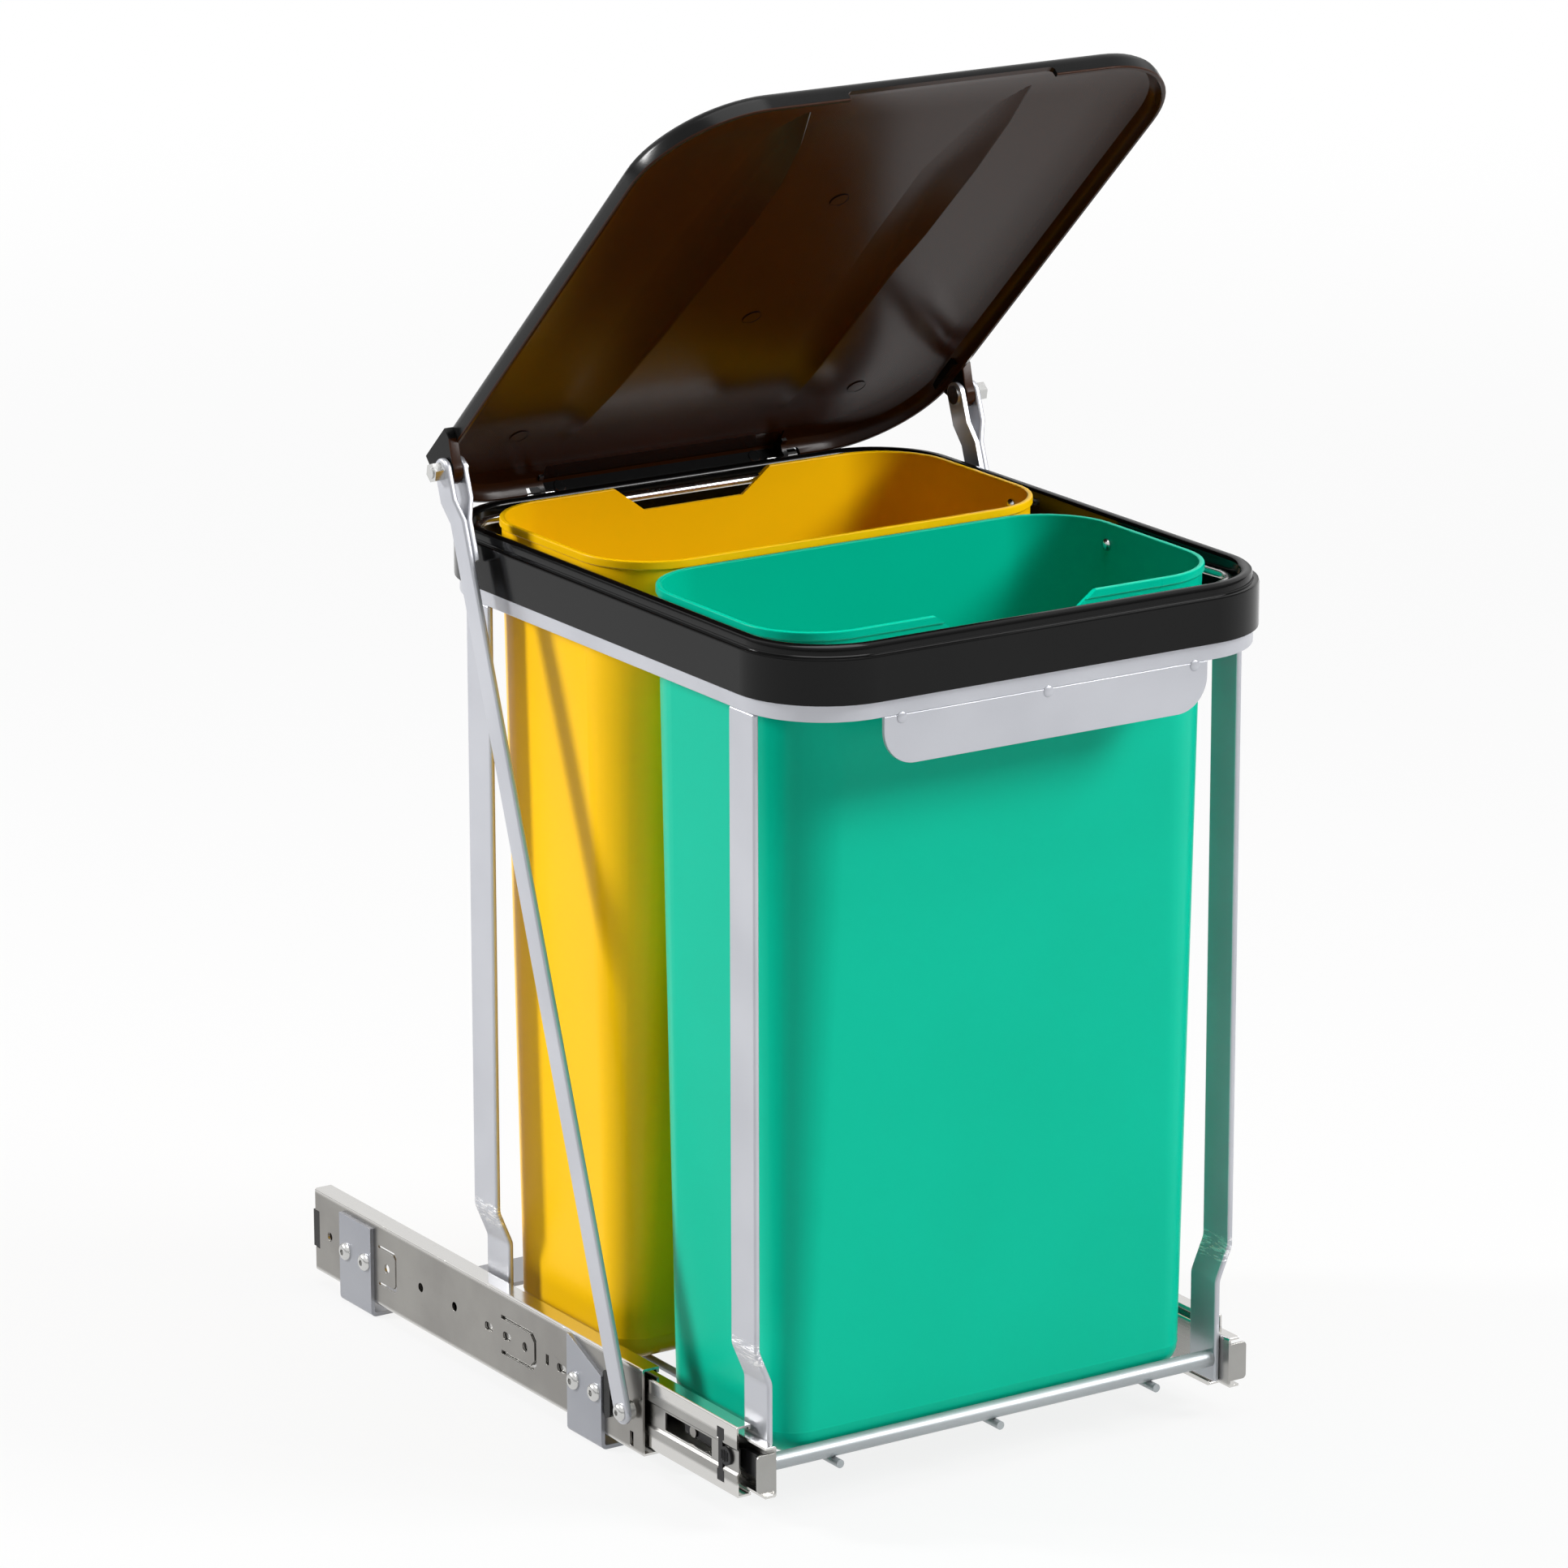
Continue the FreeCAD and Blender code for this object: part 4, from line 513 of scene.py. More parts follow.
# %% [markdown]
# ## The buckets' sizes
# A bucket is a tapered box with soft corners: narrow corners at the foot, wide ones at the
# rim. All its sizes stand here in millimetres. A size is a half width, a half depth and a
# corner, and the two buckets differ only in where they stand, which way their notch faces and
# what they are made of.

# %% Sizes of the buckets
BUCKET_HEIGHT = 384.7
WALL = 2.0
FOOT_ROUND = 12.0
FOOT = (112.5, 50.0, 16.0)
FLARE = (6.0, 15.5, 19.0)
BEAD = 1.0
BEAD_HEIGHT = 4.0
MOUTH = tuple(foot + flare + BEAD for foot, flare in zip(FOOT, FLARE))
# A thin line stands proud just above the foot's round: how far above, and how proud
FOOT_LINE = ((0.3, 0.15), (0.9, 0.15), (1.2, 0.0))
# The bead's section over the rim: how far in from the mouth, and how far below the top
RIM = ((0.35, 3.95), (0.0, 3.5), (0.0, 0.8), (0.25, 0.25), (0.8, 0.0), (1.9, 0.03), (2.4, 0.28),
       (2.65, 0.8))
# The grip notch, in X and above the top
NOTCH = ((-27, -12), (27, -12), (43, 0), (46, 4), (-46, 4), (-43, 0))
NOTCH_REACH = 6.0
# The eyes of the bail: how far out the drill starts, how far back and down, and how wide
EYE_OUT, EYE_BACK, EYE_DROP, EYE_RADIUS = 118.0, 29.0, 10.0, 2.1
BUCKETS = {
    # base, middle along Y, the side of the notch, body, finish
    "green": (24.3, -180.0, -1, "green_bucket", green_plastic),
    "yellow": (27.3, -45.5, 1, "carriage", yellow_plastic),
}
print("mouth:", MOUTH)

# %% [markdown]
# ## The buckets' shells
# The rings go up the outside, over the small rim bead and down inside, so one closed shell
# has an outer wall, a rim and an inner wall. A Solidify modifier on a single wall would be
# quicker, but it can't give the rim its bead. The grip notch and the two eyes for the bail
# are cut afterwards.

# %% Make a bucket
def grown(size, amount):
    """A half width, half depth and corner, all larger by an amount."""
    return tuple(part + amount for part in size)


def wall_size(height):
    """The size of the outer wall at a height above the foot's round."""
    share = (height - FOOT_ROUND) / (BUCKET_HEIGHT - FOOT_ROUND)
    return tuple(foot + flare * share for foot, flare in zip(FOOT, FLARE))


def foot_rings(base, middle, wall):
    """Rings round the foot, from its flat underside to where the straight wall starts."""
    radius = FOOT_ROUND - wall
    rings = []
    for angle in range(0, 91, 15):
        inset = wall + radius * (1 - math.sin(math.radians(angle)))
        rise = wall + radius * (1 - math.cos(math.radians(angle)))
        rings.append((*grown(FOOT, -inset), base + rise, middle))
    return rings


def bucket_rings(base, middle):
    """All rings of a bucket: up the outside, over the rim and down inside."""
    top = base + BUCKET_HEIGHT
    rings = foot_rings(base, middle, 0.0)
    for rise, proud in FOOT_LINE:
        height = FOOT_ROUND + rise
        rings.append((*grown(wall_size(height), proud), base + height, middle))
    rings.append((*wall_size(BUCKET_HEIGHT - BEAD_HEIGHT), top - BEAD_HEIGHT, middle))
    rings += [(*grown(MOUTH, -inset), top - drop, middle) for inset, drop in RIM]
    return rings + list(reversed(foot_rings(base, middle, WALL)))


def make_bucket(name, base, middle, facing):
    rings = bucket_rings(base, middle)
    piece = start_piece(name)
    for ring in rings:
        add_ring(*ring)
    bridge_rings(piece, len(rings))
    top = base + BUCKET_HEIGHT
    wall_y = middle + facing * MOUTH[1]
    cut_away(piece, prism("notch", [(x, top + z) for x, z in NOTCH], wall_y - NOTCH_REACH,
                          2 * NOTCH_REACH, along="Y"))
    for side in (-1, 1):
        bpy.ops.object.select_all(action="DESELECT")
        spot = metres((side * EYE_OUT, middle - facing * EYE_BACK, top - EYE_DROP))
        bpy.ops.mesh.primitive_cylinder_add(radius=EYE_RADIUS * MM, depth=12 * MM, vertices=32,
                                            location=spot, rotation=(0, math.pi / 2, 0))
        cut_away(piece, bpy.context.object)
    smooth(piece)
    return piece


for colour, (base, middle, facing, body, plastic) in BUCKETS.items():
    bucket = make_bucket(colour + "_bucket_shell", base, middle, facing)
    finish_piece(bucket, plastic, body, colour + "_plastic", colour + "_bucket")

# %% [markdown]
# ## The collar
# The black collar clips over the frame's flat band. Its section is a skirt outside, a small
# shoulder, a round bead that the lid comes down on, and a short skirt inside. The section
# could be swept along a curve, but here too rings are simpler: they go round the section
# instead of up a wall, and the last ring is joined to the first.

# %% Make the collar
COLLAR = (134.0, 158.5, 44.0)
COLLAR_MIDDLE = -115.0
COLLAR_SECTION = (
    # how far in from the skirt, and the height
    (0.0, 383.5), (0.0, 403.1), (0.35, 404.1), (1.2, 404.5), (2.6, 404.52), (3.0, 404.9),
    (3.05, 407.1), (3.5, 408.5), (4.5, 409.3), (5.7, 409.5), (7.0, 409.35), (8.2, 408.6),
    (8.9, 407.3), (9.0, 390.3), (8.7, 390.0), (5.9, 389.98), (5.7, 390.3), (5.7, 400.66),
    (2.3, 400.7), (2.28, 383.8), (2.0, 383.5), (0.3, 383.48),
)
collar = start_piece("collar_ring")
for inset, height in COLLAR_SECTION:
    add_ring(*grown(COLLAR, -inset), height, COLLAR_MIDDLE)
bridge_rings(collar, len(COLLAR_SECTION), closed=True)
print("collar faces:", len(collar.data.polygons))

# %% [markdown]
# ## Round bars
# The barrel, eyes, marks and ribs are short round bars. A plain cylinder has knife edges at its
# ends, so a bevel is meant for the rims of its two end faces. The pick of the faces misses
# them in part: turning a side face off also turns off the points that it shares with an end
# face. The bevel then runs round most of one rim, a bit of the other and two edges between
# them. It stands out there by about 0.2 mm, and by 1.5 mm on the bars that cut room for the
# knuckles.

# %% Make a round bar
def settle(piece):
    """Write a piece's turn and place into its mesh, so that its object is at the origin."""
    pick(piece)
    bpy.ops.object.transform_apply(location=True, rotation=True, scale=True)


def round_bar(name, radius, length, place, vertices=32, along="X"):
    """A closed round bar along X, Y or Z, with a small chamfer on part of its rims."""
    bpy.ops.object.select_all(action="DESELECT")
    turn = {"X": (0, math.pi / 2, 0), "Y": (math.pi / 2, 0, 0), "Z": (0, 0, 0)}[along]
    bpy.ops.mesh.primitive_cylinder_add(radius=radius * MM, depth=length * MM, vertices=vertices,
                                        location=metres(place), rotation=turn)
    bar = bpy.context.object
    bar.name = name
    settle(bar)
    bpy.ops.object.mode_set(mode="EDIT")
    bpy.ops.mesh.select_all(action="DESELECT")
    mesh = bmesh.from_edit_mesh(bar.data)
    for face in mesh.faces:
        face.select = len(face.verts) > 4
    mesh.select_flush_mode()
    bmesh.update_edit_mesh(bar.data)
    bpy.ops.mesh.select_mode(type="FACE")
    bpy.ops.mesh.region_to_loop()
    bpy.ops.mesh.bevel(offset=0.15 * radius * MM, segments=2, affect="EDGES")
    bpy.ops.mesh.select_mode(type="VERT")
    bpy.ops.object.mode_set(mode="OBJECT")
    return bar


print("round bars ready")

# %% [markdown]
# ## Hinge knuckles
# Two eyes are meant to stand on the back of the collar and hold the lid's hinge pins. Each is
# a short cylinder about the pin with a root that runs down to the skirt. Both shapes overlap
# the collar a little, as moulded parts do, and a Boolean joins them to it. Only the right one
# arrives: because of the uneven bevel of its eye, the Boolean leaves nothing of the left one.

# %% Join the knuckles to the collar
HINGE_Y = 47.0
HINGE_Z = 406.6
PANEL_HALF_WIDTH = 68.5
KNUCKLE_GAP = 0.5
KNUCKLE_WIDTH = 6.0
KNUCKLE_RADIUS = 4.0
KNUCKLE_ROOT = ((42.6, 392.6), (44.9, 392.6), (50.6, 404.6), (50.9, 406.6), (47.0, 409.6),
                (43.2, 407.0), (42.6, 403.6))
for side in (-1, 1):
    middle = side * (PANEL_HALF_WIDTH + KNUCKLE_GAP + KNUCKLE_WIDTH / 2)
    root = prism("root", KNUCKLE_ROOT, middle - KNUCKLE_WIDTH / 2, KNUCKLE_WIDTH)
    melt_in(root, round_bar("eye", KNUCKLE_RADIUS, KNUCKLE_WIDTH, (middle, HINGE_Y, HINGE_Z)))
    melt_in(collar, root)
smooth(collar)
finish_piece(collar, collar_plastic, "carriage", "dark_plastic", "collar")

# %% [markdown]
# ## The lid
# The lid is a shallow tray turned upside down. It is drawn closed, lying flat with its hinge
# axis at the origin, because its walls and creases are easy to place there, and is turned
# open when it is done. Its top is slightly crowned: the surface drops softly over the last
# thirty millimetres to each edge, above and below.

# %% Make the lid's shell
LID = (139.4, 160.5, 51.0)
LID_MIDDLE = -163.0
LID_CORNER_STEPS = 16
# Sections of the outside and the inside: how far in from the rim, and the height
LID_OUTSIDE = ((0.5, -1.8), (0.1, -1.5), (0.0, -1.0), (0.3, 3.4), (0.9, 5.6), (2.2, 7.2), (4.6, 8.4),
               (8.0, 9.2), (14.0, 10.0), (22.0, 10.7), (32.0, 11.1))
LID_INSIDE = ((34.0, 8.6), (24.0, 8.3), (15.0, 7.6), (9.0, 6.6), (5.4, 5.2), (3.6, 3.2), (2.7, 1.0),
              (2.2, -1.4), (1.7, -1.82))
sections = tuple(reversed(LID_OUTSIDE)) + tuple(reversed(LID_INSIDE))
lid = start_piece("lid_shell")
for inset, height in sections:
    add_ring(*grown(LID, -inset), height, LID_MIDDLE, steps=LID_CORNER_STEPS)
bridge_rings(lid, len(sections))
print("lid faces:", len(lid.data.polygons))

# %% [markdown]
# ## Hinge panel and finger grip
# At the back the wall steps out into a flat panel that reaches down to the hinge barrel. At
# the front the wall is cut away a few millimetres over the middle, so that fingers get under
# the rim. Both are Booleans with shapes drawn by their outlines. Round the barrel's ends the
# panel makes room for the collar's knuckles.

# %% Cut the panel and the grip
HUMP = ((-5.3, -1.8), (3.0, -1.8), (3.0, 7.4), (1.2, 9.3), (-9.0, 9.7), (-9.0, 4.1), (-5.3, 3.4))
RECESS = ((-14.0, -6.0), (-3.2, -6.0), (0.5, -0.5), (0.5, 6.2), (-0.8, 7.3), (-14.0, 7.3))
RECESS_HALF_WIDTH = 66.0
GRIP = ((-49, -4.0), (60, -4.0), (60, 1.4), (59, 2.3), (57.5, 2.7), (-46.5, 2.7), (-48, 2.3),
        (-49, 1.4))
GRIP_START, GRIP_LENGTH = -310, -20
BARREL_RADIUS = 3.0
ROOM_RADIUS, ROOM_LENGTH = 5.6, 7.0

melt_in(lid, prism("hump", HUMP, -PANEL_HALF_WIDTH, 2 * PANEL_HALF_WIDTH))
melt_in(lid, round_bar("barrel", BARREL_RADIUS, 2 * PANEL_HALF_WIDTH, (0, 0, 0)))
cut_away(lid, prism("recess", RECESS, -RECESS_HALF_WIDTH, 2 * RECESS_HALF_WIDTH))
cut_away(lid, prism("grip", GRIP, GRIP_START, GRIP_LENGTH, along="Y"))
for side in (-1, 1):
    room_x = side * (PANEL_HALF_WIDTH + KNUCKLE_GAP + KNUCKLE_WIDTH / 2)
    cut_away(lid, round_bar("knuckle_room", ROOM_RADIUS, ROOM_LENGTH, (room_x, 0, 0), vertices=48))
print("lid faces:", len(lid.data.polygons))

# %% [markdown]
# ## Creases under the lid
# Two long creases run from the back to the front of the lid. Seen from below, each swells
# slowly out of the ceiling from the left and ends in a sharp edge. Sculpting would blur that
# edge. They are drawn as wedges instead: a row of cross-sections, each a curved ramp, bridged
# along the lid. Over the rear bucket's rim they stay low, so that the lid can close.

# %% Make the creases
CREASES = (
    # distance from the hinge, where the ramp starts, where the sharp edge is, its height
    ((30, -70, -63.0, 0.0), (44, -74, -60.8, 1.4), (78, -77, -56.0, 2.4), (124, -80, -51.2, 2.7),
     (155, -81, -49.5, 2.8), (186, -81, -47.8, 3.8), (217, -79, -46.2, 3.8), (247, -76, -45.8, 3.3),
     (277, -72, -49.4, 2.3), (306, -67, -56.4, 0.0)),
    ((30, 52, 56.6, 0.0), (45, 48, 57.3, 1.2), (74, 43, 58.3, 2.3), (112, 37, 59.0, 2.6),
     (155, 35, 59.6, 2.8), (186, 34, 61.0, 3.8), (238, 34, 62.7, 3.6), (274, 44, 63.3, 2.3),
     (306, 56, 61.8, 0.0)),
)
# The curve of the ramp: how far along it, and which share of its height
RAMP = ((0.0, 0.0), (0.2, 0.05), (0.4, 0.18), (0.6, 0.40), (0.8, 0.68), (0.93, 0.90), (0.985, 0.99),
        (1.0, 1.0))
CEILING = 8.62
INSIDE_THE_TOP = 9.6


def make_crease(sections):
    """A wedge under the ceiling, from one closed outline in X and Z to the next along Y."""
    piece = start_piece("crease")
    mesh = bmesh.from_edit_mesh(piece.data)
    for away, start, edge, height in sections:
        line = [(start + (edge - start) * share, CEILING - height * drop) for share, drop in RAMP]
        line += [(edge + 0.35, CEILING - height * 0.85), (edge + 0.9, CEILING),
                 (edge + 0.9, INSIDE_THE_TOP), (start, INSIDE_THE_TOP)]
        points = [mesh.verts.new((x * MM, -away * MM, z * MM)) for x, z in line]
        for here, there in zip(points, points[1:] + points[:1]):
            mesh.edges.new((here, there))
    bmesh.update_edit_mesh(piece.data)
    bridge_rings(piece, len(sections))
    return piece


creases = [make_crease(sections) for sections in CREASES]
print("crease faces:", [len(crease.data.polygons) for crease in creases])

# %% [markdown]
# ## Ejector marks
# Pins push a moulding out of its tool and leave shallow round marks. Four are on the ceiling
# and two on the hinge panel. Each is a very flat round bar that only just stands out.

# %% Make the marks
CEILING_MARKS = ((-1.5, 221), (-3.4, 125), (93, 44), (-93, 44))
PANEL_MARKS = (-54, 54)
marks = [round_bar("mark", 4.6, 0.5, (x, -away, 8.58), along="Z") for x, away in CEILING_MARKS]
marks += [round_bar("mark", 3.2, 0.5, (x, 0.4, 3.2), along="Y") for x in PANEL_MARKS]
print("marks:", len(marks))

# %% [markdown]
# ## Ears
# The bolts of the two arms go through ears that hang below the lid's side walls. An ear is
# one outline, rounded about the bolt and extruded, with its edges broken by a small bevel. A
# short root ties it to the wall.

# %% Make the ears
EAR_INNER_FACE = 138.2
EAR_THICKNESS = 5.0
EAR_BOLT_Y, EAR_BOLT_Z = -54.9, -9.4
EAR_RADIUS = 6.5
EAR_HALF_WIDTH = 12.0
EAR_SHOULDER, EAR_TOP = 0.2, 6.2
ROOT_INNER_FACE = 134.5
ROOT_THICKNESS = 4.1
ROOT_HALF_WIDTH = 11.1
ROOT_LOW, ROOT_TOP = 0.8, 5.4


def break_edges(piece, width, angle=30, steps=2):
    """Round a piece's sharp edges with a bevel."""
    apply_step(piece, "BEVEL", width=width * MM, segments=steps, limit_method="ANGLE",
               angle_limit=math.radians(angle))


def beside(side, inner_face, thickness):
    """Where a plate that starts at an inner face begins along X, on either side."""
    return inner_face if side > 0 else -inner_face - thickness


def make_ear(side):
    back, front = EAR_BOLT_Y - EAR_HALF_WIDTH, EAR_BOLT_Y + EAR_HALF_WIDTH
    outline = [(back, EAR_TOP), (back, EAR_SHOULDER)]
    for number in range(9):
        angle = math.radians(180 + 22.5 * number)
        outline.append((EAR_BOLT_Y + EAR_RADIUS * math.cos(angle),
                        EAR_BOLT_Z + EAR_RADIUS * math.sin(angle)))
    outline += [(front, EAR_SHOULDER), (front, EAR_TOP)]
    ear = prism("ear", outline, beside(side, EAR_INNER_FACE, EAR_THICKNESS), EAR_THICKNESS)
    break_edges(ear, 0.5)
    back, front = EAR_BOLT_Y - ROOT_HALF_WIDTH, EAR_BOLT_Y + ROOT_HALF_WIDTH
    root = prism("ear_root", [(back, ROOT_TOP), (back, ROOT_LOW), (front, ROOT_LOW), (front, ROOT_TOP)],
                 beside(side, ROOT_INNER_FACE, ROOT_THICKNESS), ROOT_THICKNESS)
    return [ear, root]


ears = make_ear(-1) + make_ear(1)
print("ears and roots:", len(ears))

# %% [markdown]
# ## Opening the lid
# The lid's small parts are joined to it without cutting it, and it is turned open about its hinge. Its
# black plastic gets a painted warm brown reflection of the buckets on the faces underneath, and stays
# plain black outside. Two materials could do that, but an attribute that marks the faces that look down
# keeps it in one.

# %% Join the lid and turn it open
LID_OPEN = 43.5
LOOKS_DOWN = -0.15


def join_pieces(piece, others):
    """Put several closed shapes into one piece without cutting them."""
    pick(piece)
    for other in others:
        other.select_set(True)
    bpy.ops.object.join()


smooth(lid, 25)
extras = creases + marks + ears
for extra in extras:
    smooth(extra, 28)
join_pieces(lid, extras)
lid.rotation_euler = (math.radians(-LID_OPEN), 0, 0)
lid.location = (0, HINGE_Y * MM, HINGE_Z * MM)
settle(lid)
straight_up = Vector((0, math.sin(math.radians(LID_OPEN)), math.cos(math.radians(LID_OPEN))))
# The faces marked here take the lid material's painted warm reflection.
underside = lid.data.attributes.new("underside", "FLOAT", "FACE")
for face in lid.data.polygons:
    underside.data[face.index].value = float(face.normal.dot(straight_up) < LOOKS_DOWN)
finish_piece(lid, lid_plastic, "lid", "dark_plastic", "lid")

# %% [markdown]
# ## Bars, straps and sheet metal
# The frame's bars and the slides have the right shape already, but every edge in a solid is
# razor sharp, and real bar stock catches the light along its edges. They could be modelled
# again, but a copy of each solid's mesh is enough: it is merged, its flat faces are made whole
# again, and its edges get a narrow bevel.

# %% Soften the steel
STEEL = (
    # node, width of the rounding, its steps, finish
    ("frame_band", 0.5, 3, grey_paint), ("pull_plate", 0.25, 3, grey_paint),
    ("rear_bar", 0.5, 3, grey_paint), ("front_floor_strap", 0.6, 3, strap_paint),
    ("rear_floor_strap", 0.6, 3, strap_paint),
)
SIDE_STEEL = (
    ("front_leg", 1.2, 4, leg_paint), ("rear_leg", 1.2, 4, leg_paint), ("arm", 1.1, 4, grey_paint),
    ("fork_strip", 0.8, 3, grey_paint), ("outer_slide", 0.3, 3, zinc_steel),
    ("middle_slide", 0.25, 2, track_steel), ("inner_slide", 0.15, 2, track_steel),
)


def soften(name, width, steps, finish):
    """Stand a copy with softened edges in for a node of the frame."""
    piece = bpy.data.objects.new(name + "_bar", nodes[name].data.copy())
    bpy.context.scene.collection.objects.link(piece)
    pick(piece)
    bpy.ops.object.mode_set(mode="EDIT")
    bpy.ops.mesh.select_all(action="SELECT")
    bpy.ops.mesh.remove_doubles(threshold=0.00002)
    bpy.ops.mesh.dissolve_limited(angle_limit=math.radians(1.0))
    bpy.ops.object.mode_set(mode="OBJECT")
    break_edges(piece, width, angle=25, steps=steps)
    smooth(piece, 40)
    slot = next(subpart["material_slot"] for subpart in subparts if subpart["node"] == name)
    body = next(body for body, members in bodies.items() if name in members)
    finish_piece(piece, finish, body, slot, name)


for row in STEEL:
    soften(*row)
for side in ("left_", "right_"):
    for name, width, steps, finish in SIDE_STEEL:
        soften(side + name, width, steps, finish)

# %% [markdown]
# ## Welds and rivet heads
# Small things tell a made object from a drawn one. The pull plate is spot-welded to the band
# in three places, and the wire bails end in flattened heads inside the buckets' short walls.
# Both are domes: a ball, flattened and cut in two, that bulges from its surface.

# %% Domes for welds and rivet heads
def dome(name, radius, height, place, facing):
    """Half a flattened ball on a surface, bulging along the given direction."""
    bpy.ops.object.select_all(action="DESELECT")
    bpy.ops.mesh.primitive_uv_sphere_add(segments=24, ring_count=12, radius=radius * MM,
                                         location=(0, 0, 0))
    ball = bpy.context.object
    ball.name = name
    bpy.ops.object.mode_set(mode="EDIT")
    bpy.ops.mesh.select_all(action="SELECT")
    bpy.ops.transform.resize(value=(1, 1, height / radius))
    bpy.ops.mesh.bisect(plane_co=(0, 0, -0.25 * height * MM), plane_no=(0, 0, 1), use_fill=True,
                        clear_inner=True)
    bpy.ops.object.mode_set(mode="OBJECT")
    ball.rotation_euler = Vector(facing).to_track_quat("Z", "Y").to_euler()
    ball.location = metres(place)
    settle(ball)
    smooth(ball, 50)
    return ball


WELDS_X = (-77.0, 0.0, 79.0)
WELD_RADIUS, WELD_HEIGHT, WELD_DROP = 2.6, 0.8, 1.2
BAIL_END_RADIUS, BAIL_END_HEIGHT, BAIL_END_OUT = 3.0, 1.8, 116.2

plate_low, plate_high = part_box("pull_plate")
for number, x in enumerate(WELDS_X):
    spot = (x, plate_low.y / MM, plate_high.z / MM - WELD_DROP)
    weld = dome("weld_%d" % number, WELD_RADIUS, WELD_HEIGHT, spot, (0, -1, 0))
    finish_piece(weld, grey_paint, "carriage", "grey_paint")
for colour, (base, middle, facing, body, plastic) in BUCKETS.items():
    for side, label in ((-1, "left"), (1, "right")):
        spot = (side * BAIL_END_OUT, middle - facing * EYE_BACK, base + BUCKET_HEIGHT - EYE_DROP)
        head = dome("%s_bail_end_%s" % (colour, label), BAIL_END_RADIUS, BAIL_END_HEIGHT, spot,
                    (-side, 0, 0))
        finish_piece(head, bright_steel, body, "bright_steel")

# %% [markdown]
# ## Thumb pads
# The plastic stop at the front of each slide is pressed with the thumb, so its pad is ribbed.
# Five thin bars lie on it, the middle one longest. A bump in the material would be cheaper,
# but it would vanish from the exported shape.

# %% Ribs on the thumb pads
RIB_COUNT, RIB_SPACING, RIB_START = 5, 1.25, 2.6
RIB_RADIUS, RIB_LENGTH, RIB_SHORTER = 0.32, 5.6, 0.7
RIB_Z = 28.5
for side, label in ((-1, "left"), (1, "right")):
    low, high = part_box(label + "_middle_stop")
    face = (low.x if side < 0 else high.x) / MM
    ribs = []
    for number in range(RIB_COUNT):
        length = RIB_LENGTH - RIB_SHORTER * abs(number - RIB_COUNT // 2)
        spot = (face, low.y / MM + RIB_START + number * RIB_SPACING, RIB_Z)
        rib = round_bar("rib", RIB_RADIUS, length, spot, vertices=12, along="Z")
        smooth(rib, 50)
        ribs.append(rib)
    join_pieces(ribs[0], ribs[1:])
    ribs[0].name = label + "_thumb_ribs"
    finish_piece(ribs[0], black_plastic, label + "_middle_member", "black_plastic")

# %% [markdown]
# ## The floor
# The bin stands on a white sweep. The floor is pale and matt, so it keeps the soft shadow
# under the slides. It could be lit until it is white, but that would bleach the bin too.
# Instead it glows a little, only for rays from the camera, a mirror or glass, and more so far
# from the bin, where it runs into the white behind it.

# %% Lay the floor
FLOOR_SIZE = 40
FLOOR_DROP = 0.0002
NEAR_WHITE = 0.86
WHITE_FROM, WHITE_TO = 0.9, 3.2


def seen_rays(graph):
    """1 for rays from the camera, a mirror or glass, and 0 for rays that carry light."""
    seen = graph.add("ShaderNodeLightPath", {}, {}, "Is Camera Ray")
    for kind in ("Is Glossy Ray", "Is Transmission Ray"):
        seen = seen.combine("MAXIMUM", graph.add("ShaderNodeLightPath", {}, {}, kind))
    return seen


bpy.ops.object.select_all(action="DESELECT")
bpy.ops.mesh.primitive_plane_add(size=FLOOR_SIZE, location=(0, 0, -FLOOR_DROP))
floor = bpy.context.object
floor.name = "floor"
paper = Finish("floor_paper", Roughness=0.9, Specular_IOR_Level=0.1)
paper.feed(Base_Color=paper.blend(paper.noise(3.0, detail=2.0), rgb(0.60, 0.60, 0.60),
                                  rgb(0.63, 0.63, 0.63)))
distance = paper.add("ShaderNodeVectorMath", {"operation": "LENGTH"}, {0: paper.place}, "Value")
whiteness = NEAR_WHITE + (1 - NEAR_WHITE) * distance.above(WHITE_FROM, WHITE_TO)
glow = paper.add("ShaderNodeEmission", {}, {"Strength": 1.0})
lit = Signal(paper, paper.shader.outputs[0])
sheet = paper.add("ShaderNodeMixShader", {}, {0: seen_rays(paper) * whiteness, 1: lit, 2: glow})
paper.give(paper.tree.nodes["Material Output"].inputs["Surface"], sheet)
floor.data.materials.append(paper.material)
print("floor:", FLOOR_SIZE, "metres")

# %% [markdown]
# ## The surround
# The world lights the bin only faintly. To the camera it is white. In a mirror it is white
# above and grey near the horizon, as in a studio with a dark lower wall: that gives the steel
# its contrast.

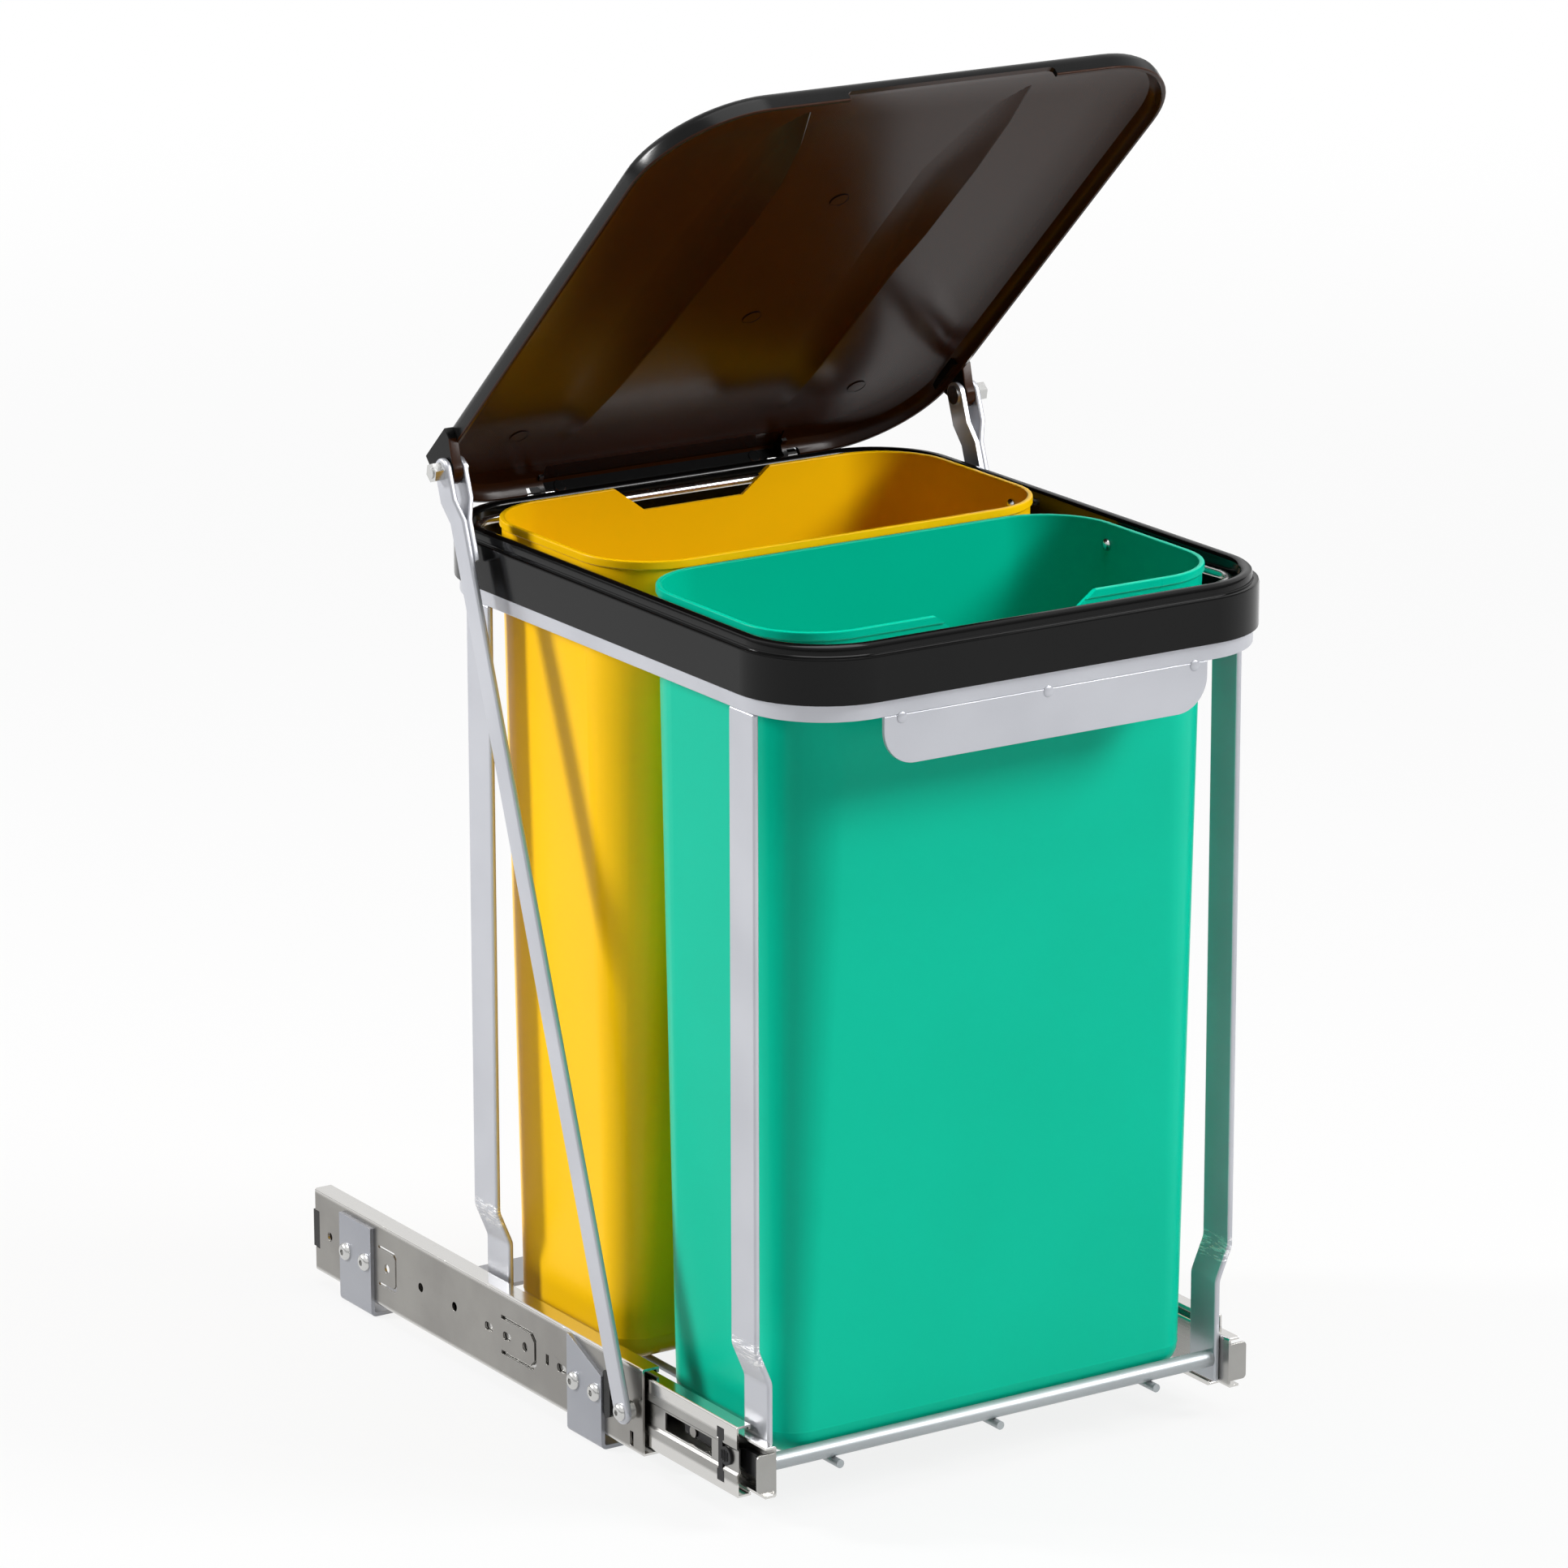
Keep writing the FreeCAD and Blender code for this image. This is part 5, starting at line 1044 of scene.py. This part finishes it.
# %% Set up the surround
SURROUND_LIGHT = 0.12
GREY_UP_TO, WHITE_ABOVE = 0.02, 0.30
world = bpy.data.worlds.new("studio")
bpy.context.scene.world = world
world.use_nodes = True
sky = Graph(world.node_tree)
lighting = world.node_tree.nodes["Background"]
sky.give(lighting.inputs["Color"], rgb(1.0, 1.0, 1.0))
sky.give(lighting.inputs["Strength"], SURROUND_LIGHT)
direction = sky.add("ShaderNodeTexCoord", {}, {}, "Generated")
upward = sky.add("ShaderNodeSeparateXYZ", {}, {0: direction}, "Z")
rise = sky.add("ShaderNodeMapRange", {},
               {"Value": upward, "From Min": GREY_UP_TO, "From Max": WHITE_ABOVE,
                "To Min": SURROUND_LIGHT, "To Max": 1.0}, "Result")
brightness = rise.combine("MAXIMUM", sky.add("ShaderNodeLightPath", {}, {}, "Is Camera Ray"))
clear = sky.add("ShaderNodeBackground", {}, {"Color": rgb(1.0, 1.0, 1.0), "Strength": brightness})
chosen = sky.add("ShaderNodeMixShader", {},
                 {0: seen_rays(sky), 1: Signal(sky, lighting.outputs[0]), 2: clear})
sky.give(world.node_tree.nodes["World Output"].inputs["Surface"], chosen)
print("surround nodes:", len(world.node_tree.nodes))

# %% [markdown]
# ## The lamps
# Three soft lamps stand where a photographer would put them: a small one behind on the left
# that draws highlights along the edges, a large one in front on the right, and the largest
# above. A sun would give harder shadows than the photograph has.

# %% Hang the lamps
LAMPS = (
    # name, place, what it points at, width, height, power
    ("window_left", (-2.3, 1.9, 1.5), (0, -0.1, 0.25), 0.5, 0.7, 98),
    ("window_front", (2.0, -2.1, 2.2), (0, -0.1, 0.25), 1.2, 1.3, 104),
    ("window_above", (0.0, -0.4, 2.9), (0, -0.1, 0.3), 2.2, 2.0, 54),
)
for name, place, target, width, height, power in LAMPS:
    lamp = bpy.data.lights.new(name, "AREA")
    lamp.shape = "RECTANGLE"
    lamp.size = width
    lamp.size_y = height
    lamp.energy = power
    holder = bpy.data.objects.new(name, lamp)
    holder.location = place
    holder.rotation_euler = (Vector(target) - Vector(place)).to_track_quat("-Z", "Y").to_euler()
    bpy.context.scene.collection.objects.link(holder)
print("lamps:", len(LAMPS))
